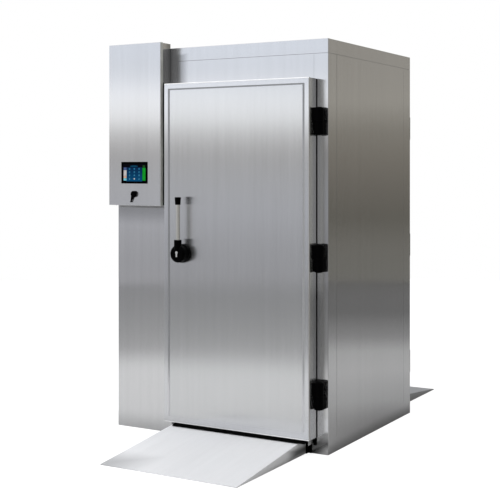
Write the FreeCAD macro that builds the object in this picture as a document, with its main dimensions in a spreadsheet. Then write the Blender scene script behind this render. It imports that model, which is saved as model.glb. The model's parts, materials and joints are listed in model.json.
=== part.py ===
"""Roll-through blast chiller: an insulated cabinet with a door and a ramp at each end.

Trolleys roll in over the front ramp and out over the rear one. Three axial fans blow cold
air from the evaporator behind the fan panel across the trolley. Millimetres, +Z up, and the
origin is on the floor, under the middle of the cabinet. The front door faces -Y.
"""
import FreeCAD, Part
import os
from collections import namedtuple
from math import cos, radians, sin

import Sketcher
from FreeCAD import Rotation, Vector

doc = FreeCAD.newDocument("blast_chiller")
sheet = doc.addObject("Spreadsheet::Sheet", "dims")
nodes = []


# ---------------------------------------------------------------- sizes that stay bound

class Size:
    """A length or angle that carries its spreadsheet formula along with its value."""

    def __init__(self, formula, value):
        self.formula = formula
        self.value = value

    def __add__(self, other):
        other = as_size(other)
        return Size(f"({self.formula} + {other.formula})", self.value + other.value)

    def __sub__(self, other):
        other = as_size(other)
        return Size(f"({self.formula} - {other.formula})", self.value - other.value)

    def __mul__(self, other):
        other = as_size(other)
        return Size(f"({self.formula} * {other.formula})", self.value * other.value)

    def __truediv__(self, other):
        other = as_size(other)
        return Size(f"({self.formula} / {other.formula})", self.value / other.value)

    def __radd__(self, other):
        return as_size(other) + self

    def __rsub__(self, other):
        return as_size(other) - self

    def __rmul__(self, other):
        return as_size(other) * self

    def __neg__(self):
        return Size(f"(-{self.formula})", -self.value)


def as_size(number):
    return number if isinstance(number, Size) else Size(f"({float(number):.6f})", float(number))


def cosine(angle):
    return Size(f"cos({angle.formula})", cos(radians(angle.value)))


def sine(angle):
    return Size(f"sin({angle.formula})", sin(radians(angle.value)))


def cell(alias, number):
    """Write one driving dimension into the spreadsheet and return it as a Size."""
    row = len(sheet.getUsedCells()) // 2 + 1
    sheet.set(f"A{row}", alias.replace("_", " "))
    sheet.set(f"B{row}", str(number))
    sheet.setAlias(f"B{row}", alias)
    return Size(f"dims.{alias}", float(number))


def bind(thing, path, size):
    thing.setExpression(path, as_size(size).formula)


# ---------------------------------------------------------------- driving dimensions

# cabinet
cabinet_width = cell("cabinet_width", 1435)
cabinet_depth = cell("cabinet_depth", 1210)
cabinet_height = cell("cabinet_height", 2300)
panel_thickness = cell("panel_thickness", 80)
floor_thickness = cell("floor_thickness", 86)
corner_return = cell("corner_return", 109)
seam_bevel = cell("seam_bevel", 1.2)

# doorway and its frame
doorway_wall_margin = cell("doorway_wall_margin", 43.5)
doorway_fan_margin = cell("doorway_fan_margin", 36.5)
doorway_head_margin = cell("doorway_head_margin", 185)
jamb_width = cell("jamb_width", 33.5)
jamb_foot_reach = cell("jamb_foot_reach", 68.5)
jamb_foot_width = cell("jamb_foot_width", 15)
jamb_foot_height = cell("jamb_foot_height", 30)

# door leaf
leaf_side_lap = cell("leaf_side_lap", 52.5)
leaf_top_lap = cell("leaf_top_lap", 45)
leaf_floor_gap = cell("leaf_floor_gap", 5)
leaf_thickness = cell("leaf_thickness", 88)
seal_gap = cell("seal_gap", 10)
moving_gap = cell("moving_gap", 0.4)
edge_width = cell("edge_width", 35)
edge_sheet = cell("edge_sheet", 2)
groove_width = cell("groove_width", 8)
skin_sheet = cell("skin_sheet", 1.2)
seal_width = cell("seal_width", 15.5)
seal_inset = cell("seal_inset", 1.5)
seal_foot_gap = cell("seal_foot_gap", 2)
sweep_thickness = cell("sweep_thickness", 8)
sweep_reach = cell("sweep_reach", 25)
sweep_left_inset = cell("sweep_left_inset", 72.5)
sweep_right_inset = cell("sweep_right_inset", 13.5)
sweep_clearance = cell("sweep_clearance", 2.5)

# hinges
hinge_radius = cell("hinge_radius", 28)
hinge_height = cell("hinge_height", 150)
hinge_inset = cell("hinge_inset", 238)
hinge_side_gap = cell("hinge_side_gap", 1.4)
hinge_setout = cell("hinge_setout", 33)
hinge_round = cell("hinge_round", 6)
pin_radius = cell("pin_radius", 7)
running_clearance = cell("running_clearance", 0.05)

# door handle
handle_inset = cell("handle_inset", 135)
handle_level = cell("handle_level", 1086)
rose_radius = cell("rose_radius", 54)
rose_depth = cell("rose_depth", 28)
hub_radius = cell("hub_radius", 50)
hub_setout = cell("hub_setout", 72)
socket_radius = cell("socket_radius", 22)
socket_top = cell("socket_top", 81)
grip_setout = cell("grip_setout", 58)
grip_radius = cell("grip_radius", 12.5)
grip_top = cell("grip_top", 318)
grip_seat = cell("grip_seat", 26)
grip_cap_height = cell("grip_cap_height", 44)
grip_cap_radius = cell("grip_cap_radius", 18.5)
lock_radius = cell("lock_radius", 8.5)
lock_height = cell("lock_height", 33)
lock_proud = cell("lock_proud", 1.5)
lock_depth = cell("lock_depth", 30)
spindle_radius = cell("spindle_radius", 7)
spindle_seat = cell("spindle_seat", 12)
spindle_hole_gap = cell("spindle_hole_gap", 1.5)
claw_clearance = cell("claw_clearance", 2.5)
claw_thickness = cell("claw_thickness", 10)
claw_setback = cell("claw_setback", 12)
knob_radius = cell("knob_radius", 32)
knob_depth = cell("knob_depth", 22)
keeper_reach = cell("keeper_reach", 18)
keeper_height = cell("keeper_height", 60)

# ramps
ramp_length = cell("ramp_length", 777)
ramp_side_gap = cell("ramp_side_gap", 2.5)
ramp_plate = cell("ramp_plate", 4)
ramp_gap = cell("ramp_gap", 1)
ramp_bays = 3

# control box
box_inset = cell("box_inset", 11)
box_width = cell("box_width", 378)
box_height = cell("box_height", 968)
box_depth = cell("box_depth", 108)
box_rise = cell("box_rise", 28)
box_sheet = cell("box_sheet", 1.5)
lid_return = cell("lid_return", 25)
lid_clearance = cell("lid_clearance", 0.5)

# touch screen and service port
bezel_width = cell("bezel_width", 192)
bezel_height = cell("bezel_height", 130)
bezel_proud = cell("bezel_proud", 3)
screen_width = cell("screen_width", 170)
screen_height = cell("screen_height", 105)
screen_rise = cell("screen_rise", 196)
screen_depth = cell("screen_depth", 24)
port_rise = cell("port_rise", 68)
port_radius = cell("port_radius", 14)
port_depth = cell("port_depth", 20)
port_flange = cell("port_flange", 17)
plug_radius = cell("plug_radius", 10)
plug_length = cell("plug_length", 12)
cap_radius = cell("cap_radius", 19)
cap_depth = cell("cap_depth", 15)
strap_drop = cell("strap_drop", 45)
strap_shift = cell("strap_shift", 20)
strap_ball = cell("strap_ball", 5)

# switch gear
gear_width = cell("gear_width", 330)
gear_height = cell("gear_height", 780)
gear_stand = cell("gear_stand", 18)
contactor_width = cell("contactor_width", 45)
contactor_pitch = cell("contactor_pitch", 56)
contactor_count = 5

# fans
plenum_width = cell("plenum_width", 345)
air_slot = cell("air_slot", 125)
fan_sheet = cell("fan_sheet", 2)
fan_flange = cell("fan_flange", 30)
ring_radius = cell("ring_radius", 212)
ring_wall = cell("ring_wall", 3)
ring_depth = cell("ring_depth", 52)
ring_flare = cell("ring_flare", 12)
rotor_radius = cell("rotor_radius", 65)
rotor_wall = cell("rotor_wall", 3)
rotor_depth = cell("rotor_depth", 62)
rotor_setback = cell("rotor_setback", 2)
blade_reach = cell("blade_reach", 198)
blade_root_chord = cell("blade_root_chord", 80)
blade_tip_chord = cell("blade_tip_chord", 112)
blade_root_angle = cell("blade_root_angle", 48)
blade_tip_angle = cell("blade_tip_angle", 66)
blade_thickness = cell("blade_thickness", 3)
blade_camber = cell("blade_camber", 9)
blade_count = cell("blade_count", 5)
motor_radius = cell("motor_radius", 48)
motor_length = cell("motor_length", 50)
shaft_radius = cell("shaft_radius", 6)
guard_setout = cell("guard_setout", 16)
guard_wire = cell("guard_wire", 3)
guard_overlap = cell("guard_overlap", 14)
guard_arms = 12
fan_rows = (-1, 0, 1)

# evaporator
coil_setout = cell("coil_setout", 60)
coil_width = cell("coil_width", 180)
coil_end_gap = cell("coil_end_gap", 20)
coil_foot_gap = cell("coil_foot_gap", 94)
coil_head_gap = cell("coil_head_gap", 190)
fin_sheet = cell("fin_sheet", 1)
fin_pitch = cell("fin_pitch", 20)
end_plate_sheet = cell("end_plate_sheet", 3)
tube_radius = cell("tube_radius", 8)
tube_rows = 10
header_setout = cell("header_setout", 40)
suction_radius = cell("suction_radius", 14)
liquid_radius = cell("liquid_radius", 8)
line_rise = cell("line_rise", 22)
collar_height = cell("collar_height", 6)
tray_depth = cell("tray_depth", 40)
tray_sheet = cell("tray_sheet", 2)
drain_radius = cell("drain_radius", 16)
elbow_radius = cell("elbow_radius", 24)
drain_stub = cell("drain_stub", 40)

# trolley rails and lamp
rail_height = cell("rail_height", 50)
rail_depth = cell("rail_depth", 34)
rail_end_gap = cell("rail_end_gap", 20)
rail_bevel = cell("rail_bevel", 10)
lamp_length = cell("lamp_length", 260)
lamp_width = cell("lamp_width", 90)
lamp_depth = cell("lamp_depth", 46)

# ---------------------------------------------------------------- places worked out once

side = cabinet_width / 2
face = cabinet_depth / 2
wall_side = side - panel_thickness
wall_face = face - panel_thickness
wall_top = cabinet_height - panel_thickness

fan_face = -wall_side + plenum_width
door_left = fan_face + doorway_fan_margin
door_right = wall_side - doorway_wall_margin
doorway_centre = (door_left + door_right) / 2
door_head = wall_top - doorway_head_margin
frame_left = door_left - jamb_width
frame_right = door_right + jamb_width
frame_top = door_head + jamb_width

leaf_left = door_left - leaf_side_lap
leaf_right = door_right + leaf_side_lap
leaf_bottom = floor_thickness + leaf_floor_gap
leaf_top = door_head + leaf_top_lap
leaf_back = -face - seal_gap
leaf_front = leaf_back - leaf_thickness

ramp_heel = -face - ramp_gap
ramp_toe = ramp_heel - ramp_length
ramp_slope = (floor_thickness - ramp_plate) / ramp_length
sweep_tip = leaf_front - sweep_reach
sweep_foot = floor_thickness - ramp_slope * (ramp_heel - sweep_tip) + sweep_clearance

pin_x = leaf_right + hinge_side_gap + hinge_radius
pin_y = -face - hinge_setout
hinge_middle = (leaf_bottom + leaf_top) / 2
hinge_spread = (leaf_top - leaf_bottom) / 2 - hinge_inset

handle_x = leaf_left + handle_inset
claw_length = handle_x - door_left - keeper_reach - claw_clearance

box_left = -side + box_inset
box_right = box_left + box_width
box_centre = (box_left + box_right) / 2
box_top = cabinet_height + box_rise
box_bottom = box_top - box_height
box_front = -face - box_depth
screen_level = box_bottom + screen_rise
port_level = box_bottom + port_rise

fan_reach = wall_face - air_slot
coil_reach = fan_reach - coil_end_gap
coil_left = -wall_side + coil_setout
coil_right = coil_left + coil_width
coil_bottom = floor_thickness + coil_foot_gap
coil_top = wall_top - coil_head_gap
coil_height = coil_top - coil_bottom
fan_level = (coil_bottom + coil_top) / 2
fan_pitch = coil_height / len(fan_rows)
feed_x = coil_left + coil_width / 4
return_x = coil_right - coil_width / 4
header_y = -coil_reach - header_setout
row_pitch = coil_height / tube_rows
drain_z = coil_bottom - tray_depth - elbow_radius - drain_radius / 2
motor_clear = rotor_depth - rotor_wall + rotor_setback + guard_setout - motor_length - rotor_wall

Circle = namedtuple("Circle", "x y radius")


# ---------------------------------------------------------------- drawing helpers

def new_body(label, x=0, y=0, z=0):
    body = doc.addObject("PartDesign::Body", label)
    body.Label = label
    for axis, size in zip("xyz", (x, y, z)):
        bind(body, f"Placement.Base.{axis}", size)
    return body


def origin_plane(body, role):
    return next(item for item in body.Origin.OriginFeatures if item.Role == f"{role}_Plane")


def pin_point(sketch, geometry, point, x, y):
    """Tie one point of a sketch to the sketch's origin, both ways."""
    for kind, size in (("DistanceX", x), ("DistanceY", y)):
        size = as_size(size)
        index = sketch.addConstraint(
            Sketcher.Constraint(kind, -1, 1, geometry, point, size.value))
        sketch.setExpression(f"Constraints[{index}]", size.formula)


def draw_polygon(sketch, corners):
    first = sketch.GeometryCount
    count = len(corners)
    points = [Vector(as_size(x).value, as_size(y).value, 0) for x, y in corners]
    for index in range(count):
        sketch.addGeometry(Part.LineSegment(points[index], points[(index + 1) % count]))
    for index in range(count):
        following = first + (index + 1) % count
        sketch.addConstraint(Sketcher.Constraint("Coincident", first + index, 2, following, 1))
    for index, (x, y) in enumerate(corners):
        pin_point(sketch, first + index, 1, x, y)


def draw_circle(sketch, circle):
    centre = Vector(as_size(circle.x).value, as_size(circle.y).value, 0)
    radius = as_size(circle.radius)
    index = sketch.addGeometry(Part.Circle(centre, Vector(0, 0, 1), radius.value))
    pin_point(sketch, index, 3, circle.x, circle.y)
    index = sketch.addConstraint(Sketcher.Constraint("Radius", index, radius.value))
    sketch.setExpression(f"Constraints[{index}]", radius.formula)


def draw(body, name, plane, level, loops):
    """Sketch closed loops on one of the body's own planes, at a level along its normal axis."""
    sketch = body.newObject("Sketcher::SketchObject", name + "_sketch")
    sketch.AttachmentSupport = (origin_plane(body, plane), [""])
    sketch.MapMode = "FlatFace"
    toward = -1 if plane == "XZ" else 1
    bind(sketch, "AttachmentOffset.Base.z", toward * as_size(level))
    for loop in loops:
        if isinstance(loop, Circle):
            draw_circle(sketch, loop)
        else:
            draw_polygon(sketch, loop)
    return sketch


def add_slab(body, name, plane, low, high, *loops):
    """Pad loops from one level to a higher one along the plane's own world axis."""
    pad = body.newObject("PartDesign::Pad", name)
    pad.Profile = draw(body, name, plane, low, loops)
    pad.Reversed = plane == "XZ"
    bind(pad, "Length", high - low)
    body.Tip = pad
    return pad


def cut_slab(body, name, plane, low, high, *loops):
    """Pocket loops between two levels along the plane's own world axis."""
    pocket = body.newObject("PartDesign::Pocket", name)
    pocket.Profile = draw(body, name, plane, low, loops)
    pocket.Reversed = plane != "XZ"
    bind(pocket, "Length", high - low)
    body.Tip = pocket
    return pocket


def turn(body, name, corners, axis, kind="Revolution"):
    """Turn a profile drawn on the XY plane about the body's X or Y axis."""
    feature = body.newObject(f"PartDesign::{kind}", name)
    sketch = draw(body, name, "XY", 0, [corners])
    feature.Profile = sketch
    feature.ReferenceAxis = (sketch, ["H_Axis" if axis == "X" else "V_Axis"])
    feature.Angle = 360
    body.Tip = feature
    return feature


def ease(body, kind, size, picks):
    """Fillet or chamfer the edges of the body, as it stands, that the test picks."""
    doc.recompute()
    base = body.Tip
    names = [f"Edge{index}" for index, edge in enumerate(base.Shape.Edges, 1) if picks(edge)]
    feature = body.newObject(f"PartDesign::{kind}", kind.lower())
    feature.Base = (base, names)
    bind(feature, "Radius" if kind == "Fillet" else "Size", size)
    body.Tip = feature
    return feature


def in_plane(axis, size):
    """A test for edges that lie wholly in a plane square to the axis."""
    level = as_size(size).value
    low, high = f"{axis}Min", f"{axis}Max"

    def picks(edge):
        box = edge.BoundBox
        return abs(getattr(box, low) - level) < 0.01 and abs(getattr(box, high) - level) < 0.01
    return picks


def any_of(*tests):
    return lambda edge: any(test(edge) for test in tests)


def rectangle(left, right, bottom, top):
    return [(left, bottom), (right, bottom), (right, top), (left, top)]


def solid_box(label, low, high):
    """A Part::Box between two corners."""
    box = doc.addObject("Part::Box", label)
    for axis, prop, start, end in zip("xyz", ("Length", "Width", "Height"), low, high):
        bind(box, prop, end - start)
        bind(box, f"Placement.Base.{axis}", start)
    return box


def rod(label, radius, length, start, along):
    """A Part::Cylinder from a start point along X, Y or Z."""
    cylinder = doc.addObject("Part::Cylinder", label)
    bind(cylinder, "Radius", radius)
    bind(cylinder, "Height", length)
    turns = {"X": Rotation(Vector(0, 1, 0), 90), "Y": Rotation(Vector(1, 0, 0), -90),
             "Z": Rotation()}
    cylinder.Placement.Rotation = turns[along]
    for axis, size in zip("xyz", start):
        bind(cylinder, f"Placement.Base.{axis}", size)
    return cylinder


def fuse(label, pieces):
    joined = doc.addObject("Part::MultiFuse", label)
    joined.Shapes = pieces
    return joined


def group(label, pieces):
    """Keep identical or paired pieces as separate solids of one node."""
    together = doc.addObject("Part::Compound", label)
    together.Label = label
    together.Links = pieces
    return together


def mirrored(label, piece):
    """The same piece at the other end of the cabinet."""
    twin = doc.addObject("Part::Mirroring", label)
    twin.Label = label
    twin.Source = piece
    twin.Normal = (0, 1, 0)
    return twin


def keep(piece):
    nodes.append(piece)
    return piece


def both_ends(label, pieces):
    """One node that holds pieces of the front and their twins at the back."""
    twins = [mirrored(f"{piece.Name}_twin", piece) for piece in pieces]
    return keep(group(label, list(pieces) + twins))


# ---------------------------------------------------------------- insulated cabinet

def floor_panel():
    """Insulated floor slab that the walls stand on and that the ramps rise to."""
    body = new_body("floor_panel")
    add_slab(body, "slab", "XY", 0, floor_thickness,
             rectangle(-side, side, -face, face))
    ease(body, "Chamfer", seam_bevel, in_plane("Z", 0))
    keep(body)


def over_floor(test):
    """The edges a test picks, without those that stand on the floor slab."""
    foot = in_plane("Z", floor_thickness)
    return lambda edge: test(edge) and not foot(edge)


def wall_panel(label, outer, inner):
    """Side panel between the corner panels, with bevelled edges that show as seams."""
    body = new_body(label)
    reach = face - corner_return
    low, high = (outer, inner) if outer.value < inner.value else (inner, outer)
    add_slab(body, "panel", "XY", floor_thickness, wall_top,
             rectangle(low, high, -reach, reach))
    ease(body, "Chamfer", seam_bevel, over_floor(in_plane("X", outer)))
    keep(body)


def ceiling_panel():
    body = new_body("ceiling_panel")
    add_slab(body, "panel", "XY", wall_top, cabinet_height, rectangle(-side, side, -face, face))
    lines = [(return_x, suction_radius), (feed_x, liquid_radius)]
    holes = [Circle(x, header_y, radius) for x, radius in lines]
    cut_slab(body, "line_holes", "XY", wall_top, cabinet_height, *holes)
    walls = [in_plane("X", -side), in_plane("X", side), in_plane("Y", -face), in_plane("Y", face)]
    ease(body, "Chamfer", seam_bevel, any_of(*walls))
    keep(body)


def corner_panel(label, outer, inner, jamb):
    """Front panel that turns the corner and runs back along the side of the cabinet."""
    body = new_body(label)
    outline = [(outer, -face), (jamb, -face), (jamb, -wall_face), (inner, -wall_face),
               (inner, -face + corner_return), (outer, -face + corner_return)]
    add_slab(body, "panel", "XY", floor_thickness, wall_top, outline)
    outside = any_of(in_plane("X", outer), in_plane("Y", -face))
    ease(body, "Chamfer", seam_bevel, over_floor(outside))
    return body


def corner_panels():
    left = corner_panel("left_corner_panel", -side, -wall_side, frame_left)
    rear = mirrored("rear_left_corner_panel", left)
    drill = rod("drain_drill", drain_radius, panel_thickness, (feed_x, wall_face, drain_z), "Y")
    drilled = doc.addObject("Part::Cut", "rear_left_corner_drilled")
    drilled.Base = rear
    drilled.Tool = drill
    keep(group("left_corner_panels", [left, drilled]))
    right = corner_panel("right_corner_panel", side, wall_side, frame_right)
    both_ends("right_corner_panels", [right])


def header_panels():
    """Panel over the doorway, between the two corner panels."""
    body = new_body("header_panel")
    add_slab(body, "panel", "XZ", -face, -wall_face,
             rectangle(frame_left, frame_right, frame_top, wall_top))
    ease(body, "Chamfer", seam_bevel, in_plane("Y", -face))
    both_ends("header_panels", [body])


def mitred_frame(name, outer, inner, bottom, front, back):
    """Two uprights and a head with mitred corners, each a length of the same profile."""
    outer_left, outer_right, outer_top = outer
    inner_left, inner_right, inner_top = inner
    outlines = {
        "left": [(outer_left, bottom), (inner_left, bottom), (inner_left, inner_top),
                 (outer_left, outer_top)],
        "right": [(inner_right, bottom), (outer_right, bottom), (outer_right, outer_top),
                  (inner_right, inner_top)],
        "head": [(inner_left, inner_top), (inner_right, inner_top), (outer_right, outer_top),
                 (outer_left, outer_top)]}
    pieces = []
    for place, outline in outlines.items():
        body = new_body(f"{name}_{place}")
        add_slab(body, "length", "XZ", front, back, outline)
        pieces.append(body)
    return pieces


def door_frames():
    """Frame round each doorway, with a block at the foot of each jamb beside the ramp."""
    pieces = mitred_frame(
        "jamb", (frame_left, frame_right, frame_top), (door_left, door_right, door_head),
        floor_thickness, -face, -wall_face)
    for name, start in (("left", frame_left), ("right", frame_right - jamb_foot_width)):
        pieces.append(solid_box(
            f"{name}_jamb_foot",
            (start, -face - jamb_foot_reach, floor_thickness - jamb_foot_height),
            (start + jamb_foot_width, -face, floor_thickness)))
    both_ends("door_frames", pieces)


# ---------------------------------------------------------------- ramps

def ramps():
    """Folded plate ramp: top, heel, cheeks and inner ribs, open underneath."""
    body = new_body("front_ramp")
    left = door_left + ramp_side_gap
    right = door_right - ramp_side_gap
    wedge = [(ramp_toe, 0), (ramp_heel, 0), (ramp_heel, floor_thickness), (ramp_toe, ramp_plate)]
    add_slab(body, "wedge", "YZ", left, right, wedge)
    hollow = [(ramp_toe + ramp_plate, 0), (ramp_heel - ramp_plate, 0),
              (ramp_heel - ramp_plate, floor_thickness - ramp_plate)]
    bay = (right - left - (ramp_bays + 1) * ramp_plate) / ramp_bays
    for index in range(ramp_bays):
        start = left + ramp_plate + index * (bay + ramp_plate)
        cut_slab(body, f"bay_{index + 1}", "YZ", start, start + bay, hollow)
    keep(body)
    keep(mirrored("rear_ramp", body))


# ---------------------------------------------------------------- door leaf

def leaf_outline(inset):
    return rectangle(leaf_left + inset, leaf_right - inset, leaf_bottom + inset, leaf_top - inset)


def door_edge_frame():
    """Bright sheet edge: a narrow border on the face and a wall round the foam core."""
    body = new_body("front_edge_frame")
    add_slab(body, "block", "XZ", leaf_front, leaf_back, leaf_outline(0))
    cut_slab(body, "tray", "XZ", leaf_front + edge_sheet, leaf_back, leaf_outline(edge_sheet))
    cut_slab(body, "window", "XZ", leaf_front, leaf_front + edge_sheet, leaf_outline(edge_width))
    outer = [in_plane("X", leaf_left), in_plane("X", leaf_right), in_plane("Z", leaf_top),
             in_plane("Z", leaf_bottom)]
    front = in_plane("Y", leaf_front)
    ease(body, "Chamfer", edge_sheet / 2, lambda edge: front(edge) and any_of(*outer)(edge))
    return body


def leaf_sheet(label, inset, front, back):
    """Sheet or slab of the leaf with the hole for the handle's spindle."""
    body = new_body(label)
    add_slab(body, "sheet", "XZ", front, back, leaf_outline(inset))
    hole = Circle(handle_x, handle_level, spindle_radius + spindle_hole_gap)
    cut_slab(body, "spindle_hole", "XZ", front, back, hole)
    return body


def door_seals():
    """Magnetic seal on three sides, and a rubber sweep that slants out over the ramp."""
    outer = (leaf_left + seal_inset, leaf_right - seal_inset, leaf_top - seal_inset)
    inner = (outer[0] + seal_width, outer[1] - seal_width, outer[2] - seal_width)
    lengths = mitred_frame("seal", outer, inner, floor_thickness + seal_foot_gap, leaf_back,
                           -face - moving_gap)
    sweep = new_body("sweep")
    root = leaf_front + edge_sheet / 2
    blade = [(root, leaf_bottom), (sweep_tip, sweep_foot + sweep_thickness / 4),
             (sweep_tip + sweep_thickness / 2, sweep_foot), (root + sweep_thickness, leaf_bottom)]
    add_slab(sweep, "blade", "YZ", leaf_left + sweep_left_inset,
             leaf_right - sweep_right_inset, blade)
    return group("front_seals", lengths + [sweep])


# ---------------------------------------------------------------- hinges

def knuckle(name, low, high, wing, bore):
    """Half of a moulded hinge: a round knuckle with a wing to what it is fixed to."""
    body = new_body(name, pin_x, pin_y, 0)
    add_slab(body, "knuckle", "XY", low, high, Circle(0, 0, hinge_radius))
    add_slab(body, "wing", "XY", low, high, wing)
    cut_slab(body, "pin_bore", "XY", low, high, Circle(0, 0, bore))
    return body


def hinges():
    """Three hinges: frame half below, door half above, and a pin through both."""
    to_frame = rectangle(-hinge_radius, hinge_radius, 0, hinge_setout)
    to_leaf = rectangle(-hinge_radius - hinge_side_gap, 0, -hinge_radius, hinge_radius)
    frame_halves, door_halves, pins = [], [], []
    for name, step in (("lower", -1), ("middle", 0), ("upper", 1)):
        centre = hinge_middle + step * hinge_spread
        low = centre - hinge_height / 2
        high = centre + hinge_height / 2
        lower = knuckle(f"{name}_frame_half", low, centre, to_frame, pin_radius)
        ease(lower, "Fillet", hinge_round, foot_rim(low))
        frame_halves.append(lower)
        upper = knuckle(f"{name}_door_half", centre + moving_gap, high, to_leaf,
                        pin_radius + running_clearance)
        ease(upper, "Fillet", hinge_round, foot_rim(high))
        door_halves.append(upper)
        pins.append(rod(f"{name}_pin", pin_radius, hinge_height - hinge_round,
                        (pin_x, pin_y, low + hinge_round / 2), "Z"))
    both_ends("frame_hinges", frame_halves)
    both_ends("hinge_pins", pins)
    return group("front_door_hinges", door_halves)


def foot_rim(level):
    """The outer rim of a knuckle's end face, without the pin bore or the flat fixing edges."""
    flat = in_plane("Z", level)

    def picks(edge):
        middle = edge.CenterOfMass
        at_wall = middle.y > hinge_setout.value - 0.01
        at_leaf = middle.x < -hinge_radius.value - 0.01
        small = edge.BoundBox.DiagonalLength < 3 * pin_radius.value
        return flat(edge) and not at_wall and not at_leaf and not small
    return picks


# ---------------------------------------------------------------- door handle

def handle_body(label):
    """A body whose origin is on the handle's axis, in the plane of the leaf's face."""
    return new_body(label, handle_x, leaf_front, handle_level)


def rose():
    body = handle_body("front_rose")
    bore = spindle_radius + running_clearance
    bevel = rose_depth / 5
    turn(body, "rose", [(bore, 0), (rose_radius, 0), (rose_radius, -rose_depth + bevel),
                        (rose_radius - bevel, -rose_depth), (bore, -rose_depth)], "Y")
    return body


def lever_hub():
    """Turning hub with the socket for the grip and the bore for the lock cylinder."""
    body = handle_body("front_lever_hub")
    back = -rose_depth - moving_gap
    shoulder = (hub_setout - rose_depth) / 4
    turn(body, "disc", [(0, back), (hub_radius, back), (hub_radius, -hub_setout + shoulder),
                        (hub_radius - shoulder, -hub_setout), (0, -hub_setout)], "Y")
    add_slab(body, "socket", "XY", socket_radius, socket_top,
             Circle(0, -grip_setout, socket_radius))
    cut_slab(body, "grip_bore", "XY", socket_top - grip_seat, socket_top,
             Circle(0, -grip_setout, grip_radius))
    cut_slab(body, "spindle_bore", "XZ", back - spindle_seat, back, Circle(0, 0, spindle_radius))
    lock_back = -hub_setout - lock_proud + lock_depth
    for index, loop in enumerate(lock_loops()):
        cut_slab(body, f"lock_bore_{index + 1}", "XZ", -hub_setout - socket_radius,
                 lock_back, loop)
    return body


def lock_loops():
    """Profile cylinder: a round barrel over a narrower stem."""
    barrel_z = lock_height / 2 - lock_radius
    half_stem = lock_radius * 0.6
    stem = [(-half_stem, -lock_height / 2), (half_stem, -lock_height / 2), (half_stem, barrel_z),
            (-half_stem, barrel_z)]
    return [Circle(0, barrel_z, lock_radius), stem]


def lock_cylinder():
    body = handle_body("front_lock_cylinder")
    front = -hub_setout - lock_proud
    for index, loop in enumerate(lock_loops()):
        add_slab(body, f"profile_{index + 1}", "XZ", front, front + lock_depth, loop)
    return body


def lever_grip():
    length = grip_top - socket_top + grip_seat
    start = (handle_x, leaf_front - grip_setout, handle_level + socket_top - grip_seat)
    return rod("front_lever_grip", grip_radius, length, start, "Z")


def lever_cap():
    """Tapered end cap over the top of the grip."""
    body = new_body("front_lever_cap", handle_x, leaf_front - grip_setout,
                    handle_level + grip_top)
    body.Placement.Rotation = Rotation(Vector(1, 0, 0), 90)
    skirt = grip_cap_radius * 0.84
    top = grip_cap_height / 4
    drop = grip_cap_height - top
    corner = grip_cap_radius / 6
    turn(body, "cap", [(0, 0), (grip_radius, 0), (grip_radius, -drop), (skirt, -drop),
                       (grip_cap_radius, top - corner), (grip_cap_radius - corner, top),
                       (0, top)], "Y")
    return body


def latch_claw():
    """Spindle through the leaf with the claw that turns behind the frame."""
    body = handle_body("front_latch_claw")
    claw_front = leaf_thickness + claw_setback
    claw_back = claw_front + claw_thickness
    tip = claw_length
    add_slab(body, "spindle", "XZ", -rose_depth - moving_gap - spindle_seat,
             claw_back + knob_depth / 2, Circle(0, 0, spindle_radius))
    add_slab(body, "boss", "XZ", claw_front, claw_back, Circle(0, 0, spindle_radius * 2.4))
    arm = [(-tip, -claw_thickness), (-tip * 0.6, -claw_thickness), (0, -spindle_radius * 2.2),
           (0, spindle_radius * 2.2), (-tip, claw_thickness * 0.6)]
    add_slab(body, "arm", "XZ", claw_front, claw_back, arm)
    return body


def release_knob():
    """Scalloped knob on the spindle's inner end, for someone shut inside."""
    body = handle_body("front_release_knob")
    low = leaf_thickness + claw_setback + claw_thickness
    high = low + knob_depth
    bevel = knob_depth / 4
    turn(body, "knob", [(0, low), (knob_radius, low), (knob_radius, high - bevel),
                        (knob_radius - bevel, high), (0, high)], "Y")
    cut_slab(body, "spindle_bore", "XZ", low, low + knob_depth / 2, Circle(0, 0, spindle_radius))
    scallop = cut_slab(body, "scallop", "XZ", low, high,
                       Circle(knob_radius * 1.12, 0, knob_radius / 3))
    repeat_round(body, scallop, "Y", as_size(6))
    return body


def repeat_round(body, feature, axis, count):
    """Repeat a feature of the body about one of the body's own axes."""
    pattern = body.newObject("PartDesign::PolarPattern", f"{feature.Name}_ring")
    pattern.Originals = [feature]
    spindle = next(item for item in body.Origin.OriginFeatures if item.Role == f"{axis}_Axis")
    pattern.Axis = (spindle, [""])
    pattern.Angle = 360
    bind(pattern, "Occurrences", count)
    body.Tip = pattern
    return pattern


def doors():
    """Front door, piece by piece, and its twin at the back."""
    skin_front = leaf_front + edge_sheet - skin_sheet
    pieces = [
        door_edge_frame(),
        leaf_sheet("front_outer_skin", edge_width + groove_width, skin_front,
                   leaf_front + edge_sheet),
        leaf_sheet("front_foam_core", edge_sheet, leaf_front + edge_sheet,
                   leaf_back - skin_sheet),
        leaf_sheet("front_inner_skin", edge_sheet, leaf_back - skin_sheet, leaf_back),
        door_seals(), hinges(), rose(), lever_hub(), lever_grip(), lever_cap(),
        lock_cylinder(), latch_claw(), release_knob()]
    for piece in pieces:
        keep(piece)
        keep(mirrored(piece.Name.replace("front_", "rear_"), piece))


def keepers():
    """Wedge on the jamb in front of the claw's tip."""
    body = new_body("keeper")
    front = -face + claw_setback - seal_gap
    back = front + claw_thickness
    nose = claw_thickness / 3
    wedge = [(door_left, front), (door_left + keeper_reach, front + nose),
             (door_left + keeper_reach, back), (door_left, back)]
    add_slab(body, "wedge", "XY", handle_level - keeper_height / 2,
             handle_level + keeper_height / 2, wedge)
    both_ends("keepers", [body])


# ---------------------------------------------------------------- control box

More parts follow.
